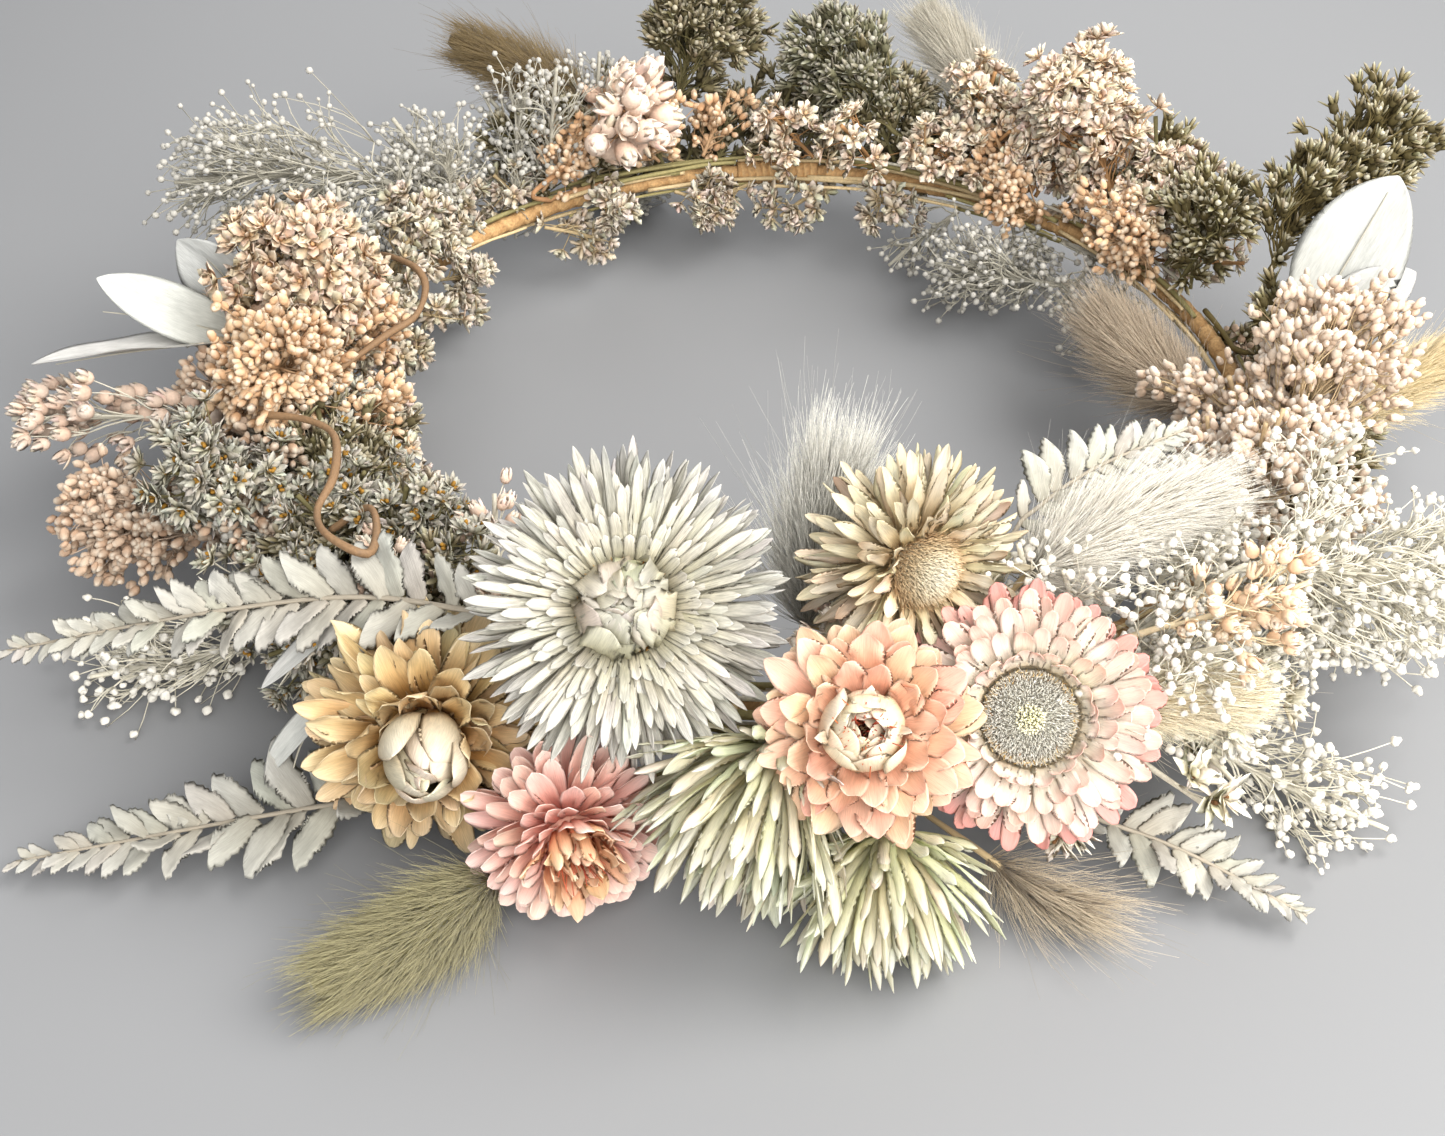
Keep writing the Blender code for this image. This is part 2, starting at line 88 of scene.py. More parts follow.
def spun(angle, side, over):
    """Unit vectors at angles in radians from side towards over."""
    return np.cos(angle)[..., None] * side + np.sin(angle)[..., None] * over


def across_to(directions):
    """A unit vector square to each direction."""
    directions = unit(directions)
    helper = np.where(np.abs(directions[..., 2:3]) < 0.9, UP, np.array((1.0, 0.0, 0.0)))
    return unit(np.cross(helper, directions))


def smooth_path(points, count):
    """A Catmull-Rom curve through the points, as an array of count points evenly spread by length."""
    points = np.asarray(points, float)
    padded = np.vstack([2 * points[0] - points[1], points, 2 * points[-1] - points[-2]])
    dense = []
    for i in range(len(points) - 1):
        a, b, c, d = padded[i:i + 4]
        t = np.linspace(0.0, 1.0, 24, endpoint=False)[:, None]
        dense.append(0.5 * (2 * b + (c - a) * t + (2 * a - 5 * b + 4 * c - d) * t ** 2
                            + (3 * b - a - 3 * c + d) * t ** 3))
    dense = np.vstack(dense + [points[-1:]])
    length = np.concatenate([[0.0], np.cumsum(np.linalg.norm(np.diff(dense, axis=0), axis=1))])
    wanted = np.linspace(0.0, length[-1], count)
    return np.stack([np.interp(wanted, length, dense[:, k]) for k in range(3)], axis=1)


def carried_frames(path, facing):
    """Tangent, side and normal at each point, with the normal carried along from the facing direction."""
    tangent = unit(np.gradient(path, axis=0))
    normals = []
    normal = np.asarray(facing, float)
    for t in tangent:
        normal = unit(normal - t * np.dot(normal, t))
        normals.append(normal)
    normals = np.array(normals)
    return tangent, np.cross(normals, tangent), normals


def resting(points):
    """The points with whatever would reach below the table pressed flat on it instead."""
    near = points[:, 2] < TABLE_GIVE
    points[near, 2] = TABLE_GIVE * np.exp(points[near, 2] / TABLE_GIVE - 1.0)
    return points


def smooth_route(spots, count):
    """The first two of the polar spots as points, and a smooth path through them all."""
    points = [polar(*spot) for spot in spots]
    return points[:2], smooth_path(points, count)


def srgb(red, green, blue):
    """Linear colour from the usual 0 to 255 display values."""
    value = np.array((red, green, blue), float) / 255.0
    return np.where(value <= 0.04045, value / 12.92, ((value + 0.055) / 1.055) ** 2.4)


def shades(*marks):
    """A colour ramp from marks of position, red, green and blue."""
    return tuple((place, srgb(*colour)) for place, *colour in marks)


def seeded(name):
    """A random generator of a piece's own, so that a change to one piece leaves the others alone."""
    return np.random.default_rng(sum((i + 1) * ord(c) for i, c in enumerate(name)))


def ramp(share, stops):
    """Colours along a ramp: stops are (position, colour)."""
    places = [s[0] for s in stops]
    colours = np.array([s[1] for s in stops])
    return np.stack([np.interp(share, places, colours[:, k]) for k in range(3)], axis=-1)


# Pieces

class Tissue:
    """Gathers the many small closed surfaces of one piece.

    tint is each vertex's own colour. grain is where it lies on its blade, hair or bead: across in mm, along
    in mm and a number that differs between them, so that streaks in a material follow the tissue.
    """

    def __init__(self, name):
        self.name = name
        self.rng = seeded(name)
        self.points, self.tints, self.grains = [], [], []
        self.corners, self.face_sizes = [], []
        self.count = 0

    def add(self, points, face_sets, tint, grain):
        points = points.reshape(-1, 3)
        self.points.append(points)
        self.tints.append(np.broadcast_to(tint, points.shape).reshape(-1, 3) if tint.ndim == 1
                          else tint.reshape(-1, 3))
        self.grains.append(grain.reshape(-1, 3))
        for faces in face_sets:
            self.corners.append((faces + self.count).ravel())
            self.face_sizes.append(np.full(faces.shape[0], faces.shape[1]))
        self.count += len(points)

    def make(self, surface, *nodes, slot=None, painted_shade=1.0):
        """The finished object, riding on the crown and standing for the CAD nodes that are named.

        The last argument multiplies all its colours: painted shade, darker for pieces that stand in more
        shade.
        """
        points = resting(np.concatenate(self.points))
        corners = np.concatenate(self.corners).astype(np.int32)
        sizes = np.concatenate(self.face_sizes)
        mesh = bpy.data.meshes.new(self.name)
        mesh.vertices.add(len(points))
        mesh.vertices.foreach_set("co", points.astype(np.float32).ravel())
        mesh.loops.add(len(corners))
        mesh.loops.foreach_set("vertex_index", corners)
        mesh.polygons.add(len(sizes))
        mesh.polygons.foreach_set("loop_start", (np.cumsum(sizes) - sizes).astype(np.int32))
        mesh.update(calc_edges=True)
        mesh.shade_smooth()
        tint = mesh.attributes.new("tint", "FLOAT_COLOR", "POINT")
        colour = np.ones((len(points), 4), np.float32)
        # Painted shade: every colour of the piece is darkened by one factor.
        colour[:, :3] = np.clip(np.concatenate(self.tints) * painted_shade, 0.0, 1.0)
        tint.data.foreach_set("color", colour.ravel())
        grain = mesh.attributes.new("grain", "FLOAT_VECTOR", "POINT")
        grain.data.foreach_set("vector", np.concatenate(self.grains).astype(np.float32).ravel())
        mesh.materials.append(surface)
        made = bpy.data.objects.new(self.name, mesh)
        bpy.context.collection.objects.link(made)
        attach(made, "root")
        if nodes:
            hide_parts(*nodes)
        return made


def ring_faces(count, rings, sides):
    """Quads between rings of each of count parts, and an end cap at both ends of each part."""
    starts = np.arange(count)[:, None] * rings * sides
    ring = starts[..., None] + np.arange(rings - 1)[None, :, None] * sides
    j = np.arange(sides)[None, None, :]
    k = (j + 1) % sides
    quads = np.stack([ring + j, ring + k, ring + sides + k, ring + sides + j], -1)
    first = starts + np.arange(sides)[None, ::-1]
    last = starts + (rings - 1) * sides + np.arange(sides)[None, :]
    return [quads.reshape(-1, 4), first, last]


def outline(share, base, peak, sharpness, roundness, swell=1.0):
    """Width of a blade along its length, as a share of its full width.

    It grows from base to full at peak, later for a larger swell, then falls to the tip as
    (1 - u ** sharpness) ** roundness.
    """
    rise = base + (1.0 - base) * np.sin(0.5 * np.pi * np.clip(share / peak, 0.0, 1.0)) ** swell
    u = np.clip((share - peak) / (1.0 - peak), 0.0, 1.0)
    return np.where(share < peak, rise, np.maximum((1.0 - u ** sharpness) ** roundness, 0.03))


def column(value, count):
    """A number or an array as one value for each of count parts."""
    return np.broadcast_to(np.asarray(value, float), (count,))


def blades(tissue, origin, along, upward, length, width, shape, stops, bend=0.0, cup=0.6, twist=0.0,
           veer=0.0, rows=9, cols=4, thickness=0.14 * MM, ripple=0.0, variety=0.06, teeth=(0, 0.0),
           midrib=0.0, slant=0.0, edge=None, blush=None):
    """Many thin curved leaf-like shells, such as bracts, petals and leaflets.

    shape is what outline takes after share. stops are colours along a blade. bend is how far it turns
    towards its upper side by the tip, veer how far it turns sideways, cup how far it curls across and twist
    how far it turns about itself, all in radians. rows and cols are how finely it is divided along and
    across. ripple is the height of its waves at the margins and midrib the depth of the groove along its
    middle, both as a share of the half width. teeth is how many each margin has and how deep they are, as a
    share of the width. slant is how far one margin reaches beyond the other at the tip, as a share of the
    half width. variety is how much blades differ in colour. edge is (colour, strength) for the margins.
    blush is (colour, share for each blade) laid over the tip.
    """
    rng = tissue.rng
    count = len(origin)
    along = unit(along)
    upward = unit(upward - along * np.sum(along * upward, axis=-1, keepdims=True))
    side = np.cross(along, upward)
    length, width = column(length, count), column(width, count)
    bend, cup, twist, veer, slant = (column(value, count) for value in (bend, cup, twist, veer, slant))
    t = np.linspace(0.0, 1.0, rows + 1)
    share = 1.0 - (1.0 - t) ** 1.35
    middle = (share[1:] + share[:-1]) / 2.0
    angle = bend[:, None] * middle ** 1.2
    step = length[:, None] * np.diff(share)
    swing = (veer[:, None] * middle)[..., None]
    level = np.cos(swing) * along[:, None] + np.sin(swing) * side[:, None]
    forward = ((step * np.cos(angle))[..., None] * level
               + (step * np.sin(angle))[..., None] * upward[:, None])
    travelled = np.concatenate([np.zeros((count, 1, 3)), np.cumsum(forward, axis=1)], axis=1)
    spine = origin[:, None] + travelled
    swing = (veer[:, None] * share)[..., None]
    level = np.cos(swing) * along[:, None] + np.sin(swing) * side[:, None]
    flank = np.cos(swing) * side[:, None] - np.sin(swing) * along[:, None]
    turn = (bend[:, None] * share ** 1.2)[..., None]
    normal = np.cos(turn) * upward[:, None] - np.sin(turn) * level
    roll = (twist[:, None] * share)[..., None]
    lateral = np.cos(roll) * flank + np.sin(roll) * normal
    normal = np.cos(roll) * normal - np.sin(roll) * flank
    half = width[:, None] / 2.0 * outline(share, *shape)[None]
    if teeth[0]:
        half = half * (1.0 - teeth[1] * ((share * teeth[0] + rng.uniform(0.0, 1.0, (count, 1))) % 1.0))
    x = np.linspace(-1.0, 1.0, cols + 1)
    curl = np.maximum(np.abs(cup), 0.02)[:, None, None] * np.ones_like(share)[None, :, None]
    sideways = np.sin(curl * x) / curl * half[..., None]
    lift = (1.0 - np.cos(curl * x)) / curl * half[..., None] * np.sign(cup + 1e-9)[:, None, None]
    phase = rng.uniform(0.0, 2.0 * np.pi, (count, 1, 1))
    waves = np.sin(phase + share[None, :, None] * rng.uniform(7.0, 13.0, (count, 1, 1)) + 1.7 * x)
    lift = lift + ripple * half[..., None] * waves * x ** 2
    lift = lift - midrib * half[..., None] * np.exp(-(x / 0.18) ** 2)
    ahead = np.cross(normal, lateral)
    ahead = ahead * np.sign(np.sum(ahead * along[:, None], axis=-1, keepdims=True))
    reach_on = slant[:, None, None] * sideways * share[None, :, None] ** 2
    top = (spine[:, :, None] + lateral[:, :, None] * sideways[..., None]
           + normal[:, :, None] * lift[..., None] + ahead[:, :, None] * reach_on[..., None])
    swell = (thickness / 2.0) * (1.0 - x ** 2)
    upper = top + normal[:, :, None] * swell[None, None, :, None]
    lower = (top - normal[:, :, None] * swell[None, None, :, None])[:, :, -2:0:-1]
    ring = np.concatenate([upper, lower], axis=2)
    ring_x = np.concatenate([x, x[-2:0:-1]])
    sides = 2 * cols
    colour = ramp(share, stops)[None, :, None, :] * np.ones((count, 1, sides, 1))
    if edge is not None:
        amount = (edge[1] * np.abs(ring_x) ** 3)[None, None, :, None]
        colour = colour * (1.0 - amount) + edge[0] * amount
    if blush is not None:
        amount = (blush[1][:, None] * share[None] ** 2)[..., None, None]
        colour = colour * (1.0 - amount) + blush[0] * amount
    colour = colour * (1.0 + variety * rng.standard_normal((count, 1, 1, 1)))
    colour = colour * (1.0 + 0.4 * variety * rng.standard_normal((count, 1, 1, 3)))
    grain = np.empty(ring.shape)
    grain[..., 0] = ring_x * half[..., None] / MM
    grain[..., 1] = (share[None] * length[:, None])[..., None] / MM
    grain[..., 2] = rng.uniform(0.0, GRAIN_OFFSETS, (count, 1, 1))
    tissue.add(ring, ring_faces(count, rows + 1, sides), colour, grain)


def tubes(tissue, paths, radii, tint, sides=5, variety=0.08):
    """Closed tubes along paths (count, points, 3) with radii (count, points) or (points,)."""
    count, points, _ = paths.shape
    radii = np.broadcast_to(radii, (count, points))
    tangent = unit(np.gradient(paths, axis=1))
    helper = across_to(paths[:, -1] - paths[:, 0])
    side = unit(np.cross(tangent, helper[:, None]))
    normal = np.cross(side, tangent)
    turn = -2.0 * np.pi * np.arange(sides) / sides
    ring = paths[:, :, None] + radii[..., None, None] * spun(turn, side[:, :, None], normal[:, :, None])
    rng = tissue.rng
    tint = np.asarray(tint, float)
    colour = (tint if tint.ndim > 1 else tint[None, None, None]) * np.ones(ring.shape)
    colour = colour * (1.0 + variety * rng.standard_normal((count, 1, 1, 1)))
    grain = np.empty(ring.shape)
    grain[..., 0] = turn * radii[..., None] / MM
    steps = np.linalg.norm(np.diff(paths, axis=1), axis=2)
    length = np.concatenate([np.zeros((count, 1)), np.cumsum(steps, axis=1)], axis=1)
    grain[..., 1] = length[..., None] / MM
    grain[..., 2] = rng.uniform(0.0, GRAIN_OFFSETS, (count, 1, 1))
    tissue.add(ring, ring_faces(count, points, sides), colour, grain)


def ball_shape(detail, lumps, seed):
    """Unit ball vertices and faces, pushed in and out into soft lumps."""
    ball = bmesh.new()
    bmesh.ops.create_icosphere(ball, subdivisions=detail, radius=1.0)
    points = np.array([v.co[:] for v in ball.verts])
    faces = np.array([[v.index for v in f.verts] for f in ball.faces])
    ball.free()
    chooser = np.random.default_rng(seed)
    centres = unit(chooser.standard_normal((9, 3)))
    near = np.max(points @ centres.T, axis=1)
    return points * (1.0 + lumps * (near[:, None] - 0.8) * 2.2), faces


BEADS = [ball_shape(2, 0.30, seed) for seed in range(5)]
SMOOTH_BEADS = [ball_shape(2, 0.06, seed) for seed in range(3)]
TINY_BEADS = [ball_shape(1, 0.12, seed) for seed in range(3)]
CRUMPLED_BEADS = [ball_shape(2, 0.55, seed) for seed in range(5)]


def beads(tissue, centres, radii, tint, stretch=1.0, axes=None, shapes=BEADS, variety=0.06, tip_tint=None):
    """Small rounded buds or seed heads; axes turns each one's long axis, stretch lengthens it."""
    rng = tissue.rng
    count = len(centres)
    radii = column(radii, count)
    axes = unit(rng.standard_normal((count, 3))) if axes is None else unit(axes)
    side = across_to(axes)
    third = np.cross(axes, side)
    first = spun(rng.uniform(0.0, 2.0 * np.pi, count), side, third)
    second = np.cross(axes, first)
    kinds = rng.integers(0, len(shapes), count)
    tint = np.broadcast_to(tint, (count, 3))
    for kind, (points, faces) in enumerate(shapes):
        chosen = np.where(kinds == kind)[0]
        if len(chosen) == 0:
            continue
        scale = radii[chosen, None, None]
        body = (points[None, :, 0:1] * first[chosen, None] + points[None, :, 1:2] * second[chosen, None]
                + points[None, :, 2:3] * stretch * axes[chosen, None])
        placed = centres[chosen, None] + body * scale
        colour = tint[chosen, None] * (1.0 + variety * rng.standard_normal((len(chosen), 1, 1)))
        colour = colour * np.ones(placed.shape)
        if tip_tint is not None:
            amount = np.clip(points[None, :, 2:3], 0.0, 1.0) ** 2
            colour = colour * (1.0 - amount) + tip_tint * amount
        grain = placed / MM + rng.uniform(0.0, GRAIN_OFFSETS, (len(chosen), 1, 1))
        offsets = np.arange(len(chosen))[:, None, None] * len(points)
        tissue.add(placed, [(faces[None] + offsets).reshape(-1, 3)], colour, grain)


# Materials

def node(tree, kind, values=None, **properties):
    """A new node with its properties and the values of its unlinked inputs."""
    made = tree.nodes.new(kind)
    for key, value in properties.items():
        setattr(made, key, value)
    for key, value in (values or {}).items():
        made.inputs[key].default_value = value
    return made


def new_material(name):
    """A material, its node tree, its Principled shader, its output and the tint and grain nodes."""
    surface = bpy.data.materials.new(name)
    surface.use_nodes = True
    tree = surface.node_tree
    shader = tree.nodes["Principled BSDF"]
    output = tree.nodes["Material Output"]
    tint = node(tree, "ShaderNodeAttribute", attribute_name="tint")
    grain = node(tree, "ShaderNodeAttribute", attribute_name="grain")
    return surface, tree, shader, output, tint, grain


def noise_on(tree, vector, stretch, scale, detail=3.0, roughness=0.55):
    """Noise over a vector that is first stretched, so that it runs as streaks."""
    mapping = node(tree, "ShaderNodeMapping", {"Scale": stretch})
    tree.links.new(vector, mapping.inputs["Vector"])
    noise = node(tree, "ShaderNodeTexNoise", {"Scale": scale, "Detail": detail, "Roughness": roughness})
    tree.links.new(mapping.outputs["Vector"], noise.inputs["Vector"])
    return noise.outputs["Fac"]


def ranged(tree, factor, low, high, new_low, new_high):
    """A factor carried from one range to another."""
    made = node(tree, "ShaderNodeMapRange",
                {"From Min": low, "From Max": high, "To Min": new_low, "To Max": new_high})
    tree.links.new(factor, made.inputs["Value"])
    return made.outputs["Result"]


def multiplied(tree, colour, factor):
    """A colour times a grey factor."""
    made = node(tree, "ShaderNodeMix", data_type="RGBA", blend_type="MULTIPLY")
    made.inputs["Factor"].default_value = 1.0
    tree.links.new(colour, made.inputs["A"])
    tree.links.new(factor, made.inputs["B"])
    return made.outputs["Result"]


def bumped(tree, shader, height, distance, strength):
    """Gives the shader a surface raised by a height. Returns its normal."""
    bump = node(tree, "ShaderNodeBump", {"Strength": strength, "Distance": distance})
    tree.links.new(height, bump.inputs["Height"])
    tree.links.new(bump.outputs["Normal"], shader.inputs["Normal"])
    return bump.outputs["Normal"]


def shine_through(tree, shader, output, colour, share, normal=None):
    """Mixes in light that comes through thin tissue."""
    through = node(tree, "ShaderNodeBsdfTranslucent")
    tree.links.new(colour, through.inputs["Color"])
    if normal is not None:
        tree.links.new(normal, through.inputs["Normal"])
    mix = node(tree, "ShaderNodeMixShader", {"Fac": share})
    tree.links.new(shader.outputs["BSDF"], mix.inputs[1])
    tree.links.new(through.outputs["BSDF"], mix.inputs[2])
    tree.links.new(mix.outputs["Shader"], output.inputs["Surface"])


def papery(name, roughness, streak, through, gloss, patches):
    """Dry bracts and leaves: satin tissue with fine lengthwise streaks and broad duller patches."""
    surface, tree, shader, output, tint, grain = new_material(name)
    fine = noise_on(tree, grain.outputs["Vector"], (6.0, 0.35, 1.0), 1.0, 4.0, 0.6)
    broad = noise_on(tree, grain.outputs["Vector"], (0.9, 0.28, 1.0), 1.0, 2.0)
    lines = ranged(tree, fine, 0.3, 0.7, 1.0 - streak, 1.0)
    colour = multiplied(tree, tint.outputs["Color"], lines)
    clouds = ranged(tree, broad, 0.35, 0.65, 1.0 - patches, 1.0)
    colour = multiplied(tree, colour, clouds)
    tree.links.new(colour, shader.inputs["Base Color"])
    rough = ranged(tree, fine, 0.3, 0.7, roughness - 0.12, roughness + 0.14)
    tree.links.new(rough, shader.inputs["Roughness"])
    shader.inputs["Specular IOR Level"].default_value = gloss
    normal = bumped(tree, shader, fine, 0.12 * MM, 0.9)
    shine_through(tree, shader, output, colour, through, normal)
    return surface


def downy(name, roughness, through):
    """Hairs and plumes: soft fibres, darker and lighter by strand."""
    surface, tree, shader, output, tint, grain = new_material(name)
    strand = noise_on(tree, grain.outputs["Vector"], (0.2, 0.15, 3.0), 1.0, 2.0)
    colour = multiplied(tree, tint.outputs["Color"], ranged(tree, strand, 0.3, 0.7, 0.86, 1.06))
    tree.links.new(colour, shader.inputs["Base Color"])
    rough = ranged(tree, strand, 0.3, 0.7, roughness - 0.1, roughness + 0.1)
    tree.links.new(rough, shader.inputs["Roughness"])
    shader.inputs["Sheen Weight"].default_value = 0.25
    shader.inputs["Specular IOR Level"].default_value = 0.3
    shine_through(tree, shader, output, colour, through)
    return surface


def dried(name, roughness, through, mottle):
    """Buds, beads and stems: dry and matt, mottled, with a fine uneven surface."""
    surface, tree, shader, output, tint, grain = new_material(name)
    spots = noise_on(tree, grain.outputs["Vector"], (1.0, 1.0, 1.0), 1.4, 3.0)
    colour = multiplied(tree, tint.outputs["Color"], ranged(tree, spots, 0.35, 0.65, 1.0 - mottle, 1.05))
    tree.links.new(colour, shader.inputs["Base Color"])
    rough = ranged(tree, spots, 0.3, 0.7, roughness - 0.12, roughness + 0.12)
    tree.links.new(rough, shader.inputs["Roughness"])
    shader.inputs["Specular IOR Level"].default_value = 0.3
    normal = bumped(tree, shader, spots, 0.15 * MM, 0.8)
    shine_through(tree, shader, output, colour, through, normal)
    return surface


# Parts of plants

def whorl(tissue, centres, axes, count, base, lift, length, width, elevation, shape, stops, bend=0.0,
          turn=0.0, spread=0.12, tilt=4.0, uneven=0.07, **more):
    """A ring of bracts or petals round each centre.

    base and lift place their feet out from and along the axis. They, length and width are in mm. elevation
    is in degrees above flat: 90 stands up, more leans in. spread, tilt and uneven say how far places,
    elevations and sizes stray. The rest is for blades.
    """
    rng = tissue.rng
    centres, axes = np.atleast_2d(centres), unit(np.atleast_2d(axes))
    heads = len(centres)
    side = across_to(axes)
    over = np.cross(axes, side)
    spacing = 2.0 * np.pi / count
    start = turn * spacing if heads == 1 else rng.uniform(0.0, 2.0 * np.pi, (heads, 1))
    phi = np.arange(count) * spacing + start + spread * spacing * rng.standard_normal((heads, count))
    rim = spun(phi, side[:, None], over[:, None])
    rise = np.radians(elevation + tilt * rng.standard_normal((heads, count)))[..., None]
    along = np.cos(rise) * rim + np.sin(rise) * axes[:, None]
    upward = np.cos(rise) * axes[:, None] - np.sin(rise) * rim
    origin = centres[:, None] + rim * base * MM + axes[:, None] * lift * MM
    number = heads * count
    blades(tissue, origin.reshape(-1, 3), along.reshape(-1, 3), upward.reshape(-1, 3),
           length * MM * (1.0 + uneven * rng.standard_normal(number)),
           width * MM * (1.0 + 1.3 * uneven * rng.standard_normal(number)), shape, stops,
           bend=bend + 2.2 * uneven * rng.standard_normal(number), **more)


def arcs(start, end, lean, points):
    """Curves from start to end that set off along lean, as an array (count, points, 3)."""
    t = np.linspace(0.0, 1.0, points)[None, :, None]
    control = start + lean
    return ((1.0 - t) ** 2 * start[:, None] + 2.0 * t * (1.0 - t) * control[:, None]
            + t ** 2 * end[:, None])


def tuft(tissue, centre, axis, count, inner, outer, lift, dome, length, thick, lean, stops, jitter=0.12,
         points=4, curl=0.25, sides=4, taper=0.5):
    """Hairs or tube florets that stand on a dome, between two radii.

    Lengths are in mm. lean is their outward lean at the rim, jitter how far they stray from it and curl how
    much of that is a bend. stops are colours from the inner radius to the outer one.
    """
    rng = tissue.rng
    axis = unit(axis)
    side = across_to(axis)
    over = np.cross(axis, side)
    k = np.arange(count) + 0.5
    radius = np.sqrt(inner ** 2 + (outer ** 2 - inner ** 2) * k / count)
    rim = spun(k * GOLDEN_ANGLE, side, over)
    share = radius / outer
    height = (lift + dome * (1.0 - share ** 2)) * MM
    root = centre + rim * (radius * MM)[:, None] + axis * height[:, None]
    heading = unit(axis + lean * share[:, None] * rim + jitter * rng.standard_normal((count, 3)))
    reach = (length * MM * (1.0 + 0.18 * rng.standard_normal(count)))[:, None]
    end = root + heading * reach
    bow = heading * reach * 0.5 + curl * reach * jitter * rng.standard_normal((count, 3))
    paths = arcs(root, end, bow, points)
    radii = thick * MM * np.linspace(1.0, taper, points)
    place = (radius - inner) / max(outer - inner, 1e-9)
    tubes(tissue, paths, radii, ramp(place, stops)[:, None, None, :], sides=sides, variety=0.1)


STALK_RADIUS = 0.6
BOUND_RADIUS = 3.15 * MM
FREE_RADIUS = 7.6 * MM
BOUND_SHARES = np.linspace(0.0, 1.0, 14)[[0, 4, 8, 12, 13]]


def stem_path(way_out, first, second, points=30):
    """A stem that lies under the binding, leaves it and ends at the first point, heading for the second.

    way_out is the azimuth where it leaves, its section angle there and the degrees that it lies bound.
    """
    azimuth, section_angle, run = way_out
    short_of = 1.0 - BOUND_SHARES
    bound = round_hoop(azimuth - run * short_of, section_angle + 0.0 * short_of, BOUND_RADIUS)
    away = round_hoop(np.array([azimuth + math.copysign(3.0, run)]), section_angle, FREE_RADIUS)
    return smooth_path(np.vstack([bound, away, [first, first + 0.3 * (second - first)]]), points)


def stem(tissue, path, radius, tint, knots=0.12):
    """A dry stem, faintly knotted along its length, with radius in mm."""
    rng = tissue.rng
    share = np.linspace(0.0, 1.0, len(path))
    swell = np.sin(share * 19.0 + rng.uniform(0, 6)) * rng.uniform(0.5, 1.0, len(path))
    girth = radius * MM * (1.0 + knots * swell)
    tubes(tissue, path[None], girth[None], tint, sides=8, variety=0.02)


TWIG_RADIUS = 0.22
WIDEST = 0.62
FULLNESS = 1.06


def panicle(tissue, path, half_width, half_thickness, facing, forks, ends, tint, spread, low=0.2):
    """Branches from a main stem to twig ends that fill a flattened plume.

    half_width, half_thickness and spread, which is how far the ends of one fork stray, are in mm. low is
    the share of the stem below the first fork. Returns the ends and their headings.
    """
    rng = tissue.rng
    tangent, side, normal = carried_frames(path, facing)
    last = len(path) - 1
    share = low + (1.0 - low) * rng.beta(1.9, 1.15, forks)
    at = np.clip((share * last).astype(int), 0, last)
    swell = np.where(share < WIDEST, 0.45 + 0.55 * (share / WIDEST) ** 0.8,
                     np.sqrt(np.maximum(1.0 - ((share - WIDEST) / 0.46) ** 2, 0.05)))
    turn = rng.uniform(0.0, 2.0 * np.pi, forks)
    out = (0.25 + 0.75 * rng.uniform(0.0, 1.0, forks) ** 0.6) * swell * FULLNESS
    middle = (path[at] + side[at] * (np.cos(turn) * out * half_width * MM)[:, None]
              + normal[at] * (np.sin(turn) * out * half_thickness * MM)[:, None])
    back = np.clip(((share - rng.uniform(0.22, 0.5, forks)) * last).astype(int), 0, last)
    root = path[back]
    apart = np.linalg.norm(middle - root, axis=1, keepdims=True)
    fork = (root + (middle - root) * rng.uniform(0.45, 0.7, (forks, 1))
            + 0.06 * apart * rng.standard_normal((forks, 3)))
    tubes(tissue, arcs(root, fork, tangent[back] * apart * 0.3, 5),
          TWIG_RADIUS * MM * np.linspace(1.3, 0.8, 5), tint)
    end = middle[:, None] + spread * MM * rng.standard_normal((forks, ends, 3)) * np.array((1.0, 1.0, 0.8))
    start = np.repeat(fork, ends, axis=0)
    end = end.reshape(-1, 3)
    heading = end - start
    stray = 0.1 * np.linalg.norm(heading, axis=1, keepdims=True) * rng.standard_normal(end.shape)
    lean = np.repeat((fork - root) * 0.35, ends, axis=0) + stray
    tubes(tissue, arcs(start, end, lean, 5), TWIG_RADIUS * MM * np.linspace(0.8, 0.55, 5), tint, sides=3)
    stem(tissue, path, TWIG_RADIUS * 2.2, tint)
    return end, unit(heading)


# Hoop and binding

HOOP_PAPER = srgb(196, 160, 112)
# Painted shade for the sunken places under each lap of the paper wrap and in its creases.
HOOP_PAPER_SHADED = srgb(150, 112, 70)
BINDING_TINT = srgb(178, 126, 80)
STRAW = srgb(214, 190, 146)
OLIVE_STEM = srgb(148, 138, 92)
CREAM_STEM = srgb(232, 226, 208)
BINDING_TURNS = 30
BINDING_RADIUS = 5.0 * MM
BINDING_STEPS = 3600
STRAND_TWISTS = 340.0
PAPER_TURNS = 120.0
TAPE_AZIMUTHS = (84.0, 96.0)
STALK_COUNT = 90
STALK_POINTS = 22

paper = dried("wrapped_paper", 0.8, 0.05, 0.3)
straw = dried("straw", 0.6, 0.12, 0.22)


